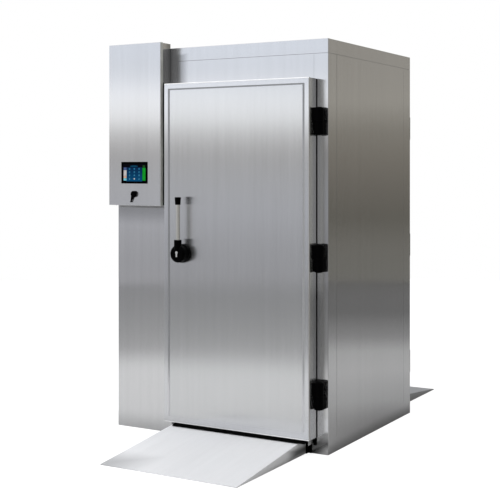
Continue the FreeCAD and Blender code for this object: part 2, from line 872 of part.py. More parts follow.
def control_box():
    """Sheet box on the front panel, open to the front, and the lid that closes it."""
    box = new_body("control_box_body")
    inset = box_sheet + lid_clearance
    left, right = box_left + inset, box_right - inset
    bottom, top = box_bottom + inset, box_top - inset
    front = box_front + box_sheet + lid_clearance
    add_slab(box, "block", "XZ", front, -face, rectangle(left, right, bottom, top))
    cut_slab(box, "inside", "XZ", front, -face - box_sheet,
             rectangle(left + box_sheet, right - box_sheet, bottom + box_sheet, top - box_sheet))
    keep(box)

    lid = new_body("control_box_lid")
    back = box_front + lid_return
    add_slab(lid, "block", "XZ", box_front, back,
             rectangle(box_left, box_right, box_bottom, box_top))
    cut_slab(lid, "pan", "XZ", box_front + box_sheet, back,
             rectangle(box_left + box_sheet, box_right - box_sheet, box_bottom + box_sheet,
                       box_top - box_sheet))
    cut_slab(lid, "cutouts", "XZ", box_front, box_front + box_sheet,
             screen_outline(), Circle(box_centre, port_level, port_radius))
    outer = [in_plane("X", box_left), in_plane("X", box_right), in_plane("Z", box_top),
             in_plane("Z", box_bottom)]
    front_edge = in_plane("Y", box_front)
    ease(lid, "Chamfer", box_sheet * 0.8,
         lambda edge: front_edge(edge) and any_of(*outer)(edge))
    keep(lid)


def screen_outline():
    return rectangle(box_centre - screen_width / 2, box_centre + screen_width / 2,
                     screen_level - screen_height / 2, screen_level + screen_height / 2)


def touch_screen():
    """Black bezel on the lid and the display module that shows through it."""
    bezel = new_body("screen_bezel")
    proud = box_front - bezel_proud
    add_slab(bezel, "plate", "XZ", proud, box_front,
             rectangle(box_centre - bezel_width / 2, box_centre + bezel_width / 2,
                       screen_level - bezel_height / 2, screen_level + bezel_height / 2))
    cut_slab(bezel, "window", "XZ", proud, box_front, screen_outline())
    ease(bezel, "Chamfer", bezel_proud / 3,
         lambda edge: in_plane("Y", proud)(edge) and edge.Length > bezel_height.value - 0.01)
    keep(bezel)
    module = new_body("touch_screen")
    add_slab(module, "module", "XZ", proud + bezel_proud / 4, proud + screen_depth,
             screen_outline())
    keep(module)


def service_port():
    """Port socket in the lid, and its rubber cap with a pull strap that ends in a ball."""
    socket = new_body("port_socket", box_centre, box_front, port_level)
    lip = bezel_proud / 2
    turn(socket, "socket", [(plug_radius, -lip), (port_flange, -lip), (port_flange, 0),
                            (port_radius, 0), (port_radius, port_depth), (0, port_depth),
                            (0, port_depth - box_sheet), (plug_radius, port_depth - box_sheet)],
         "Y")
    keep(socket)

    cap = new_body("port_cap", box_centre, box_front, port_level)
    seat = -lip - moving_gap
    bevel = cap_depth / 4
    plug = plug_radius - moving_gap
    turn(cap, "cap", [(0, seat - cap_depth), (cap_radius - bevel, seat - cap_depth),
                      (cap_radius, seat - cap_depth + bevel), (cap_radius, seat), (plug, seat),
                      (plug, seat + plug_length), (0, seat + plug_length)], "Y")
    strap = [(-cap_radius * 0.95, 0), (-strap_shift - strap_ball / 2, -strap_drop),
             (-strap_shift + strap_ball / 2, -strap_drop), (-cap_radius * 0.1, -cap_radius * 0.8)]
    add_slab(cap, "strap", "XZ", seat - cap_depth / 2, seat - cap_depth / 4, strap)
    ball = doc.addObject("Part::Sphere", "strap_ball")
    bind(ball, "Radius", strap_ball)
    bind(ball, "Placement.Base.x", box_centre - strap_shift)
    bind(ball, "Placement.Base.y", box_front + seat - cap_depth * 3 / 8)
    bind(ball, "Placement.Base.z", port_level - strap_drop)
    whole = fuse("port_cap_whole", [cap, ball])
    cap.Label = "port_cap_moulding"
    whole.Label = "port_cap"
    keep(whole)


def switch_gear():
    """Mounting plate on its folded feet, with contactors and a terminal strip on it."""
    plate = new_body("mounting_plate")
    back = -face - box_sheet
    front = back - gear_stand
    left, right = box_centre - gear_width / 2, box_centre + gear_width / 2
    channel = [(left, back), (left, front), (right, front), (right, back),
               (right - fan_sheet, back), (right - fan_sheet, front + fan_sheet),
               (left + fan_sheet, front + fan_sheet), (left + fan_sheet, back)]
    low = (box_bottom + box_top - gear_height) / 2
    add_slab(plate, "plate", "XY", low, low + gear_height, channel)
    keep(plate)

    pieces = []
    row_z = box_top - box_height / 4
    deep, shallow = contactor_width * 1.15, contactor_width * 0.75
    for index in range(contactor_count):
        start = box_centre + (index - contactor_count / 2) * contactor_pitch
        body = new_body(f"contactor_{index + 1}")
        step = [(front, row_z), (front - shallow, row_z),
                (front - deep, row_z + contactor_width / 2),
                (front - deep, row_z + contactor_width * 1.3),
                (front - shallow, row_z + contactor_width * 1.8),
                (front, row_z + contactor_width * 1.8)]
        add_slab(body, "housing", "YZ", start, start + contactor_width, step)
        pieces.append(body)
    strip_low = row_z - contactor_width * 3
    pieces.append(solid_box("terminal_strip", (left + gear_stand, front - shallow, strip_low),
                            (right - gear_stand, front, strip_low + contactor_width)))
    pieces.append(solid_box("power_supply", (left + gear_stand, front - deep, low + gear_stand),
                            (box_centre, front, low + gear_stand + contactor_width * 2.5)))
    keep(group("switch_gear", pieces))


# ---------------------------------------------------------------- fans

def fan_panel():
    """Folded panel from floor to ceiling with a rolled inlet ring for each fan."""
    body = new_body("fan_sheet_panel")
    back = fan_face - fan_sheet
    fold = fan_face - fan_flange
    inner = fan_reach - fan_sheet
    channel = [(fan_face, -fan_reach), (fan_face, fan_reach), (fold, fan_reach), (fold, inner),
               (back, inner), (back, -inner), (fold, -inner), (fold, -fan_reach)]
    add_slab(body, "panel", "XY", floor_thickness, wall_top, channel)
    holes = [Circle(0, fan_level + row * fan_pitch, ring_radius + ring_wall) for row in fan_rows]
    cut_slab(body, "fan_holes", "YZ", back, fan_face, *holes)
    rings = []
    for row in fan_rows:
        ring = new_body(f"inlet_ring_{row + 2}", fan_face, 0, fan_level + row * fan_pitch)
        outer = ring_radius + ring_wall
        rolled = outer + ring_flare
        turn(ring, "ring", [(0, ring_radius), (0, outer), (-ring_depth + ring_flare, outer),
                            (-ring_depth, rolled), (-ring_depth - ring_wall, rolled),
                            (-ring_depth + ring_flare - ring_wall, ring_radius)], "X")
        rings.append(ring)
    keep(group("fan_panel", [body] + rings))


def blade_section(chord, angle):
    """Cambered section of a blade, drawn across the radius, as eight corners."""
    upper, lower = [], []
    for along, bulge in ((-0.5, 0.0), (-0.17, 0.88), (0.17, 0.88), (0.5, 0.0)):
        skin = blade_thickness * (0.5 if bulge else 0.25)
        for side_points, shift in ((upper, skin), (lower, -skin)):
            s = chord * along
            n = blade_camber * bulge + shift
            side_points.append((s * cosine(angle) - n * sine(angle),
                                s * sine(angle) + n * cosine(angle)))
    return upper + lower[::-1]


def impeller(row):
    """Cup-shaped rotor with swept, twisted blades, open towards its motor."""
    body = new_body(f"fan_impeller_{row + 2}", fan_face, 0, fan_level + row * fan_pitch)
    rim = -rotor_setback
    base = rim - rotor_depth
    middle = (rim + base) / 2
    turn(body, "rotor", [(base, 0), (base, rotor_radius - rotor_wall),
                         (base + rotor_wall, rotor_radius), (rim, rotor_radius), (rim, 0)], "X")
    inner = motor_radius + rotor_wall
    root = draw(body, "blade_root", "XY", inner, [shifted(
        blade_section(blade_root_chord, blade_root_angle), middle)])
    tip = draw(body, "blade_tip", "XY", blade_reach, [shifted(
        blade_section(blade_tip_chord, blade_tip_angle), middle)])
    blade = body.newObject("PartDesign::AdditiveLoft", "blade")
    blade.Profile = root
    blade.Sections = [tip]
    blade.Ruled = True
    body.Tip = blade
    repeat_round(body, blade, "X", blade_count)
    bore = shaft_radius + running_clearance
    boss = bore + rotor_wall * 2
    floor = base + rotor_wall
    turn(body, "cup", [(floor, boss), (floor + motor_clear, boss), (floor + motor_clear, 0),
                       (rim, 0), (rim, rotor_radius - rotor_wall),
                       (floor, rotor_radius - rotor_wall)], "X", "Groove")
    turn(body, "bore", [(floor, 0), (floor + motor_clear, 0), (floor + motor_clear, bore),
                        (floor, bore)], "X", "Groove")
    keep(body)


def shifted(corners, along):
    return [(x + along, y) for x, y in corners]


def fan_motors():
    """Motor and shaft of each fan, held on the hub plate of its guard."""
    motors = []
    for row in fan_rows:
        body = new_body(f"fan_motor_{row + 2}", fan_face, 0, fan_level + row * fan_pitch)
        back = guard_setout - motor_length
        tip = -rotor_setback - rotor_depth + rotor_wall + moving_gap
        bevel = rotor_wall
        turn(body, "motor", [(tip, 0), (tip, shaft_radius), (back, shaft_radius),
                             (back, motor_radius - bevel), (back + bevel, motor_radius),
                             (guard_setout, motor_radius), (guard_setout, 0)], "X")
        motors.append(body)
    keep(group("fan_motors", motors))


def fan_guards():
    """Wire guard in front of each fan: hub plate, spokes with feet, and rings."""
    guards = []
    rim = ring_radius + ring_wall + guard_overlap
    for row in fan_rows:
        level = fan_level + row * fan_pitch
        body = new_body(f"fan_guard_{row + 2}", fan_face, 0, level)
        outer = guard_setout + guard_wire
        add_slab(body, "hub_plate", "YZ", guard_setout, outer, Circle(0, 0, motor_radius))
        half = guard_wire / 2
        spoke = rectangle(motor_radius - guard_wire, rim, -half, half)
        foot = rectangle(rim - guard_wire * 2, rim, -half, half)
        spoke_pad = add_slab(body, "spoke", "YZ", guard_setout, outer, spoke)
        foot_pad = add_slab(body, "foot", "YZ", 0, guard_setout, foot)
        pattern = repeat_round(body, spoke_pad, "X", as_size(guard_arms))
        pattern.Originals = [spoke_pad, foot_pad]
        for index in range(2):
            radius = motor_radius + (rim - motor_radius) * (index + 1) / 3
            add_slab(body, f"ring_{index + 1}", "YZ", guard_setout, outer,
                     Circle(0, 0, radius), Circle(0, 0, radius - guard_wire))
        guards.append(body)
    keep(group("fan_guards", guards))


# ---------------------------------------------------------------- evaporator

def evaporator_fins():
    """Fins between two end plates that hang on the left wall."""
    pieces = []
    for name, start in (("front", -coil_reach), ("rear", coil_reach - end_plate_sheet)):
        pieces.append(solid_box(f"{name}_end_plate", (-wall_side, start, coil_bottom),
                                (coil_right, start + end_plate_sheet, coil_top)))
    count = int(2 * coil_reach.value / fin_pitch.value) - 1
    for index in range(count):
        start = (index - (count - 1) / 2) * fin_pitch - fin_sheet / 2
        pieces.append(solid_box(f"fin_{index + 1}", (coil_left, start, coil_bottom),
                                (coil_right, start + fin_sheet, coil_top)))
    keep(group("evaporator_fins", pieces))


def row_level(row):
    return coil_bottom + row_pitch * (row + 0.5)


def evaporator_tubes():
    """Each row runs from the liquid header to the back, round a bend, and to the suction header."""
    pieces = []
    bend = (return_x - feed_x) / 2
    length = coil_reach - header_y
    for row in range(tube_rows):
        level = row_level(row)
        for name, x in (("feed", feed_x), ("return", return_x)):
            pieces.append(rod(f"{name}_tube_{row + 1}", tube_radius, length,
                              (x, header_y, level), "Y"))
        arc = doc.addObject("Part::Torus", f"return_bend_{row + 1}")
        bind(arc, "Radius1", bend)
        bind(arc, "Radius2", tube_radius)
        arc.Angle3 = 180
        bind(arc, "Placement.Base.x", feed_x + bend)
        bind(arc, "Placement.Base.y", coil_reach)
        bind(arc, "Placement.Base.z", level)
        pieces.append(arc)
    keep(fuse("evaporator_tubes", pieces))


def refrigerant_lines():
    """Headers that rise through the ceiling, with a collar and a stub over the roof."""
    start = row_level(0) - tube_radius * 3
    pieces = []
    for name, radius, x in (("suction_line", suction_radius, return_x),
                            ("liquid_line", liquid_radius, feed_x)):
        body = new_body(name, x, header_y, 0)
        add_slab(body, "header", "XY", start, cabinet_height, Circle(0, 0, radius))
        add_slab(body, "collar", "XY", cabinet_height, cabinet_height + collar_height,
                 Circle(0, 0, radius * 1.7))
        add_slab(body, "stub", "XY", cabinet_height + collar_height,
                 cabinet_height + line_rise, Circle(0, 0, radius))
        pieces.append(body)
    keep(group("refrigerant_lines", pieces))


def drip_tray():
    """Tray between the end plates under the fins."""
    body = new_body("drip_tray")
    reach = coil_reach - end_plate_sheet
    top = coil_bottom
    low = top - tray_depth
    lip = coil_setout / 3
    add_slab(body, "block", "XY", low, top, rectangle(-wall_side, coil_right, -reach, reach))
    cut_slab(body, "pan", "XY", low + tray_sheet, top,
             rectangle(-wall_side + lip, coil_right - tray_sheet, -reach + tray_sheet,
                       reach - tray_sheet))
    keep(body)


def drain_pipe():
    """Pipe from the tray down, round a bend, and out through the rear corner panel."""
    body = new_body("drain_pipe", feed_x, 0, drain_z)
    top = coil_bottom - tray_depth - drain_z
    add_slab(body, "drop", "XY", elbow_radius, top, Circle(0, 0, drain_radius))
    sketch = draw(body, "elbow", "XY", elbow_radius, [Circle(0, 0, drain_radius)])
    near, far = Vector(0, elbow_radius.value, 0), Vector(elbow_radius.value, elbow_radius.value, 0)
    axis = sketch.addGeometry(Part.LineSegment(near, far), True)
    pin_point(sketch, axis, 1, 0, elbow_radius)
    pin_point(sketch, axis, 2, elbow_radius, elbow_radius)
    elbow = body.newObject("PartDesign::Revolution", "elbow")
    elbow.Profile = sketch
    elbow.ReferenceAxis = (sketch, ["Axis0"])
    elbow.Angle = 90
    body.Tip = elbow
    pipe = Circle(0, 0, drain_radius)
    add_slab(body, "run", "XZ", elbow_radius, face, pipe)
    add_slab(body, "collar", "XZ", face, face + collar_height, Circle(0, 0, drain_radius * 1.5))
    add_slab(body, "stub", "XZ", face + collar_height, face + drain_stub, pipe)
    keep(body)


# ---------------------------------------------------------------- chamber fittings

def trolley_rails():
    """Bumper rails on the right wall and on the fan panel, between the fans."""
    pieces = []
    reach = fan_reach - rail_end_gap
    half = rail_height / 2
    for index, step in enumerate((-0.5, 0.5)):
        level = fan_level + step * fan_pitch
        for name, wall, inward in (("right", wall_side, -1), ("left", fan_face, 1)):
            crest = wall + inward * rail_depth
            shoulder = crest - inward * rail_bevel
            outline = [(wall, level - half), (shoulder, level - half),
                       (crest, level - half + rail_bevel), (crest, level + half - rail_bevel),
                       (shoulder, level + half), (wall, level + half)]
            body = new_body(f"{name}_rail_{index + 1}")
            add_slab(body, "rail", "XZ", -reach, reach, outline)
            pieces.append(body)
    keep(group("trolley_rails", pieces))


def interior_lamp():
    """Bulkhead lamp under the ceiling."""
    body = new_body("interior_lamp")
    low = wall_top - lamp_depth
    add_slab(body, "lamp", "XY", low, wall_top,
             rectangle(doorway_centre - lamp_length / 2, doorway_centre + lamp_length / 2,
                       -lamp_width / 2, lamp_width / 2))
    ease(body, "Fillet", lamp_width / 3, lambda edge: abs(edge.Length - lamp_depth.value) < 0.01)
    ease(body, "Fillet", lamp_depth / 4, in_plane("Z", low))
    keep(body)


# ---------------------------------------------------------------- build, check and write

def build():
    doc.recompute()
    floor_panel()
    wall_panel("left_wall_panel", -side, -wall_side)
    wall_panel("right_wall_panel", side, wall_side)
    ceiling_panel()
    corner_panels()
    header_panels()
    door_frames()
    ramps()
    doors()
    keepers()
    control_box()
    touch_screen()
    service_port()
    switch_gear()
    fan_panel()
    fan_guards()
    fan_motors()
    for row in fan_rows:
        impeller(row)
    evaporator_fins()
    evaporator_tubes()
    refrigerant_lines()
    drip_tray()
    drain_pipe()
    trolley_rails()
    interior_lamp()
    doc.recompute()


def check():
    """Stop on any failed object, any empty or invalid shape, and any cut that removes nothing."""
    for thing in doc.Objects:
        if "Invalid" in thing.State or "Error" in thing.State:
            raise RuntimeError(f"{thing.Label} failed: {thing.State}")
        if thing.TypeId in ("PartDesign::Pocket", "PartDesign::Groove"):
            before = thing.BaseFeature.Shape.Volume
            if before - thing.Shape.Volume < 1e-6 * before:
                raise RuntimeError(f"{thing.Label} cuts nothing")
    for node in nodes:
        if node.Shape.isNull() or not node.Shape.isValid():
            raise RuntimeError(f"{node.Label} has no valid shape")


def write():
    os.makedirs("parts", exist_ok=True)
    for node in nodes:
        node.Shape.exportStep(f"parts/{node.Label}.step")
    print(f"{len(nodes)} nodes, {sum(len(node.Shape.Solids) for node in nodes)} solids")


build()
check()
write()
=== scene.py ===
# %% [markdown]
# # A roll-through blast chiller
# A blast chiller is an insulated steel room for one trolley. The frame that this script loads
# already holds every piece at its real place, so the lesson is about finishes: how brushed
# steel, moulded plastic, rubber and a lit display are made from nodes, and how a few fine
# pieces are modelled with bmesh operators.

# %% Load the frame
import bmesh
import bpy
import json
from math import cos, pi, radians, sin
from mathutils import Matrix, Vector


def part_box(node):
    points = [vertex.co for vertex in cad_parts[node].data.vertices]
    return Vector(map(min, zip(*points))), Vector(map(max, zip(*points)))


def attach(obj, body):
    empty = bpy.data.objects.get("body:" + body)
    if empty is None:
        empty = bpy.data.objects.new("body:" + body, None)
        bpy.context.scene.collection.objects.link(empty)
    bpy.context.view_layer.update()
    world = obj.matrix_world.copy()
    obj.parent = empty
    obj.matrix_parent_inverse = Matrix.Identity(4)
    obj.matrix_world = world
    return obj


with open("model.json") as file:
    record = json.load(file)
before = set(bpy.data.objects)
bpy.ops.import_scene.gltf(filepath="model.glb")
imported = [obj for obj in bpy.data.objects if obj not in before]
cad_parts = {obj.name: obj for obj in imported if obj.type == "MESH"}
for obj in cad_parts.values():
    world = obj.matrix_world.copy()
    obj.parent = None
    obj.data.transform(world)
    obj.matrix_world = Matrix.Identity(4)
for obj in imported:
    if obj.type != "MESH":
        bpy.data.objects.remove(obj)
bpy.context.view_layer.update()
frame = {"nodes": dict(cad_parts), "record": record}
scene = bpy.context.scene
MM = 0.001
ENDS = ("front", "rear")


# %% [markdown]
# ## The studio
# A still of a steel cabinet is mostly a picture of what stands round it, because steel has
# little colour of its own. So the room comes first: a white world, a pale floor, a soft lamp
# overhead, and a wide round screen, dim up to head height and bright above. The camera can't
# see the screen, only the steel can, which gives the panels their long upright gradients.

# %% The camera
CAMERA_PLACE = (3.3310, -5.9963, 1.5806)
CAMERA_TURN = radians(29.99)
CAMERA_LENS = 78.10
CAMERA_SHIFT = -0.1628

camera_data = bpy.data.cameras.new("camera")
camera_data.lens = CAMERA_LENS
camera_data.shift_y = CAMERA_SHIFT
camera = bpy.data.objects.new("camera", camera_data)
camera.location = CAMERA_PLACE
camera.rotation_euler = (pi / 2, 0, CAMERA_TURN)
scene.collection.objects.link(camera)
scene.camera = camera
scene.view_settings.view_transform = "Standard"
print("camera", CAMERA_LENS, "mm, at", CAMERA_PLACE)


# %% [markdown]
# ## Writing node trees by hand
# Nodes are easiest to read in code when one line makes one node, and when the wires going
# into it are named in the same line. The helper below takes each input either as a plain
# value, which is set on the socket, or as another node's output, which is wired to it. The
# nodes that are needed most get a short helper of their own, which gives back their output.

# %% Helpers for nodes
VECTOR_MATH = "ShaderNodeVectorMath"


def add_node(tree, kind, inputs=None, **settings):
    """Make a node, set its properties, and fill its inputs with values or wires."""
    node = tree.nodes.new(kind)
    for name, value in settings.items():
        setattr(node, name, value)
    for name, value in (inputs or {}).items():
        if isinstance(value, bpy.types.NodeSocket):
            tree.links.new(value, node.inputs[name])
        else:
            node.inputs[name].default_value = value
    return node


def compute(tree, operation, *values, kind="ShaderNodeMath"):
    """One sum on numbers, or on vectors with VECTOR_MATH."""
    return add_node(tree, kind, dict(enumerate(values)), operation=operation).outputs[0]


def remap(tree, value, start, end, low=0.0, high=1.0, **settings):
    """A value stretched from one range to another, and held inside it."""
    return add_node(tree, "ShaderNodeMapRange", {
        "Value": value, "From Min": start, "From Max": end, "To Min": low, "To Max": high},
        **settings).outputs[0]


def blend(tree, factor, first, second, kind="RGBA"):
    """Two colours, or two numbers as FLOAT, mixed by a factor."""
    return add_node(tree, "ShaderNodeMix", {"Factor": factor, "A": first, "B": second},
                    data_type=kind).outputs["Result"]


def ramp(tree, factor, *stops):
    """A colour ramp with (place, brightness or colour) stops."""
    node = add_node(tree, "ShaderNodeValToRGB", {"Fac": factor})
    elements = node.color_ramp.elements
    while len(elements) < len(stops):
        elements.new(1.0)
    for element, (place, colour) in zip(elements, stops):
        element.position = place
        element.color = (*colour, 1) if isinstance(colour, tuple) else (colour,) * 3 + (1,)
    return node.outputs["Color"]


def place_in(tree):
    """Where a shaded point lies on its object, in metres."""
    return tree.nodes.new("ShaderNodeTexCoord").outputs["Object"]


def axes_of(tree, vector):
    return add_node(tree, "ShaderNodeSeparateXYZ", {0: vector}).outputs


def blank_material(name):
    """An empty material, its tree, and the socket that takes its shader."""
    material = bpy.data.materials.new(name)
    material.use_nodes = True
    tree = material.node_tree
    tree.nodes.clear()
    return material, tree, tree.nodes.new("ShaderNodeOutputMaterial").inputs["Surface"]


# %% [markdown]
# ## The world
# White wherever it is looked at or mirrored, and a little weaker as a light, so that the
# background is pure white without washing out the matt pieces.

# %% A white world
WORLD_LIGHT = 0.75


def make_world():
    world = bpy.data.worlds.new("white_room")
    world.use_nodes = True
    tree = world.node_tree
    tree.nodes.clear()
    ray = tree.nodes.new("ShaderNodeLightPath").outputs
    seen = compute(tree, "MAXIMUM", ray["Is Camera Ray"], ray["Is Glossy Ray"])
    seen = compute(tree, "MAXIMUM", seen, ray["Is Transmission Ray"])
    light = add_node(tree, "ShaderNodeBackground", {
        "Color": (1, 1, 1, 1), "Strength": remap(tree, seen, 0.0, 1.0, WORLD_LIGHT, 1.0)})
    output = tree.nodes.new("ShaderNodeOutputWorld")
    tree.links.new(light.outputs[0], output.inputs["Surface"])
    scene.world = world


make_world()
print("world lights at", WORLD_LIGHT)


# %% [markdown]
# ## The floor
# To the camera the floor is nearly white. To the steel it is a lit matt floor that fades
# outwards, a little differently on the left and on the right, darker in front of the right
# corner, and nearly black in the deep shade beside the ramp.

# %% The floor
FLOOR_RADIUS = 9.0
CORNER_GREY = (0.26, 0.26, 0.26, 1)
BAND_BLACK = (0.01, 0.01, 0.01, 1)


def floor_material():
    material, tree, surface = blank_material("pale_floor")
    ray = tree.nodes.new("ShaderNodeLightPath").outputs
    place = place_in(tree)
    distance = add_node(tree, VECTOR_MATH, {0: place}, operation="LENGTH").outputs["Value"]
    share = compute(tree, "DIVIDE", distance, FLOOR_RADIUS)
    left = ramp(tree, share, (0.0, 0.76), (0.20, 0.74), (0.31, 0.72), (0.34, 0.66),
                (0.42, 0.41), (0.55, 0.375), (0.70, 0.37), (0.90, 0.41))
    # On the right the floor is painted darker close to the cabinet, a painted contact shade.
    right = ramp(tree, share, (0.05, 0.35), (0.10, 0.47), (0.15, 0.61), (0.26, 0.70),
                 (0.36, 0.65), (0.45, 0.41), (0.64, 0.255), (0.90, 0.32))
    axes = axes_of(tree, place)

    def mask(*limits):
        """1 where every (axis, start, end) has been passed, 0 where any hasn't begun."""
        shares = [remap(tree, axes[axis], start, end) for axis, start, end in limits]
        while len(shares) > 1:
            shares.append(compute(tree, "MULTIPLY", shares.pop(0), shares.pop(0)))
        return shares[0]

    fade = blend(tree, mask(("X", 0.0, 0.7)), left, right)
    fade = blend(tree, mask(("X", 0.9, 1.6), ("Y", -0.6, -1.4)), fade, CORNER_GREY)
    fade = blend(tree, mask(("X", 0.5, 0.59), ("X", 0.67, 0.60), ("Y", -0.2, -0.6),
                            ("Y", -1.6, -0.8)), fade, BAND_BLACK)
    glow = add_node(tree, "ShaderNodeEmission", {"Strength": 1.30})
    pale = add_node(tree, "ShaderNodeBsdfDiffuse", {"Color": (0.8, 0.8, 0.8, 1)})
    seen = add_node(tree, "ShaderNodeMixShader", {0: 0.30, 1: glow.outputs[0], 2: pale.outputs[0]})
    matt = add_node(tree, "ShaderNodeBsdfDiffuse", {"Color": fade})
    both = add_node(tree, "ShaderNodeMixShader", {
        0: ray["Is Camera Ray"], 1: matt.outputs[0], 2: seen.outputs[0]})
    tree.links.new(both.outputs[0], surface)
    return material


def make_stage_piece(name, shape, material):
    mesh = bpy.data.meshes.new(name)
    shape.to_mesh(mesh)
    shape.free()
    mesh.materials.append(material)
    piece = bpy.data.objects.new(name, mesh)
    scene.collection.objects.link(piece)
    return piece


disc = bmesh.new()
bmesh.ops.create_circle(disc, cap_ends=True, segments=96, radius=FLOOR_RADIUS)
make_stage_piece("floor", disc, floor_material())
print("floor", FLOOR_RADIUS, "m in radius")


# %% [markdown]
# ## The screen
# In a studio, white boards stand round a steel object. Here one open cylinder does the same,
# and its brightness is painted by height: cool on the left, warm and darker on the right.

# %% The round screen that only the steel can see
SCREEN_HEIGHT = 5.0
WARM_FROM, WARM_TO = -2.5, 2.0
GREY_FROM, GREY_TO = 0.0, -4.0


def screen_material():
    material, tree, surface = blank_material("round_screen")
    axes = axes_of(tree, place_in(tree))
    height = compute(tree, "DIVIDE", axes["Z"], SCREEN_HEIGHT)
    cool = ramp(tree, height, (0.0, (0.485, 0.485, 0.51)), (0.06, (0.455, 0.46, 0.485)),
                (0.135, (0.50, 0.505, 0.535)), (0.20, (0.57, 0.58, 0.62)),
                (0.30, (0.565, 0.57, 0.59)), (0.355, (0.52, 0.51, 0.51)),
                (0.417, (0.84, 0.84, 0.84)), (0.445, (1.24, 1.25, 1.27)),
                (0.51, (1.36, 1.39, 1.44)), (0.545, (1.16, 1.20, 1.28)),
                (0.58, (0.99, 1.04, 1.13)), (0.66, (1.02, 1.08, 1.19)))
    warm = ramp(tree, height, (0.0, (0.21, 0.205, 0.185)), (0.10, (0.20, 0.192, 0.17)),
                (0.18, (0.155, 0.147, 0.124)), (0.26, (0.19, 0.176, 0.15)),
                (0.34, (0.235, 0.217, 0.185)), (0.42, (0.29, 0.272, 0.235)),
                (0.50, (0.42, 0.40, 0.355)), (0.62, (0.40, 0.38, 0.34)))
    grey = ramp(tree, height, (0.0, 0.44), (0.34, 0.42), (0.47, 0.40), (0.60, 0.20))
    right = blend(tree, remap(tree, axes["Y"], GREY_FROM, GREY_TO), warm, grey)
    colour = blend(tree, remap(tree, axes["X"], WARM_FROM, WARM_TO), cool, right)
    glow = add_node(tree, "ShaderNodeEmission", {"Color": colour})
    tree.links.new(glow.outputs[0], surface)
    return material


ring = bmesh.new()
bmesh.ops.create_cone(ring, cap_ends=False, segments=96, radius1=FLOOR_RADIUS,
                      radius2=FLOOR_RADIUS, depth=SCREEN_HEIGHT)
bmesh.ops.translate(ring, verts=ring.verts, vec=(0, 0, SCREEN_HEIGHT / 2))
bmesh.ops.reverse_faces(ring, faces=ring.faces)
screen = make_stage_piece("round_screen", ring, screen_material())
screen.visible_camera = False
print("screen", SCREEN_HEIGHT, "m high")

# %% The lamp overhead
LAMP_PLACE = Vector((-0.6, -3.2, 5.4))
LAMP_AIM = Vector((0.0, -1.2, 0.0))
LAMP_SIZE = 4.0
LAMP_WATTS = 200

lamp_data = bpy.data.lights.new("overhead", "AREA")
lamp_data.size = LAMP_SIZE
lamp_data.energy = LAMP_WATTS
lamp = bpy.data.objects.new("overhead", lamp_data)
lamp.location = LAMP_PLACE
lamp.rotation_euler = (LAMP_PLACE - LAMP_AIM).to_track_quat("Z", "Y").to_euler()
lamp.visible_glossy = False
scene.collection.objects.link(lamp)
print("lamp", LAMP_WATTS, "W")


# %% [markdown]
# ## Effects that several finishes share
# Brushing leaves fine scratches that all run one way. Stretched noise gives them: the
# coordinates are squeezed along the stroke, so each grain of noise becomes a long line. The
# effect is a node group with named inputs, so every steel can place it with its own values.
# Soft patches left by cleaning, the leathery grain of a mould, and a box that fades at its
# edges are groups too. A group puts out only values; the shader stays in the material.

# %% The group for brush strokes
def new_group(name, inputs, outputs):
    """An empty shader group. Inputs are (name, type, default), outputs (name, type)."""
    group = bpy.data.node_groups.new(name, "ShaderNodeTree")
    for label, kind, default in inputs:
        socket = group.interface.new_socket(label, in_out="INPUT", socket_type=kind)
        socket.default_value = default
    for label, kind in outputs:
        group.interface.new_socket(label, in_out="OUTPUT", socket_type=kind)
    given = group.nodes.new("NodeGroupInput").outputs
    return group, given, group.nodes.new("NodeGroupOutput").inputs


def brush_strokes_group():
    group, given, made = new_group(
        "brush_strokes",
        [("Stretch", "NodeSocketVector", (1.0, 1.0, 0.02)), ("Coarse", "NodeSocketFloat", 30.0),
         ("Fine", "NodeSocketFloat", 600.0)],
        [("Value", "NodeSocketFloat"), ("Height", "NodeSocketFloat")])
    squeezed = compute(group, "MULTIPLY", place_in(group), given["Stretch"], kind=VECTOR_MATH)
    coarse = add_node(group, "ShaderNodeTexNoise", {
        "Vector": squeezed, "Scale": given["Coarse"], "Detail": 3.0}).outputs["Fac"]
    fine = add_node(group, "ShaderNodeTexNoise", {
        "Vector": squeezed, "Scale": given["Fine"], "Detail": 1.0}).outputs["Fac"]
    group.links.new(blend(group, 0.45, coarse, fine, "FLOAT"), made["Value"])
    group.links.new(fine, made["Height"])
    return group


# %% The group for handling marks
def handling_marks_group():
    """Soft cloudy patches left by cleaning cloths, 0 where clean and 1 where dull."""
    group, given, made = new_group(
        "handling_marks", [("Scale", "NodeSocketFloat", 3.0)], [("Mask", "NodeSocketFloat")])
    cloud = add_node(group, "ShaderNodeTexNoise", {
        "Vector": place_in(group), "Scale": given["Scale"], "Detail": 2.0})
    group.links.new(remap(group, cloud.outputs["Fac"], 0.40, 0.75), made["Mask"])
    return group


# %% The group for moulded grain
def moulded_grain_group():
    """The fine leathery texture of a spark-eroded mould."""
    group, given, made = new_group(
        "moulded_grain", [("Scale", "NodeSocketFloat", 900.0)],
        [("Value", "NodeSocketFloat"), ("Height", "NodeSocketFloat")])
    place = place_in(group)
    cells = add_node(group, "ShaderNodeTexVoronoi", {
        "Vector": place, "Scale": given["Scale"]}, feature="SMOOTH_F1")
    cloud = add_node(group, "ShaderNodeTexNoise", {
        "Vector": place, "Scale": 12.0, "Detail": 3.0})
    group.links.new(cloud.outputs["Fac"], made["Value"])
    group.links.new(cells.outputs["Distance"], made["Height"])
    return group


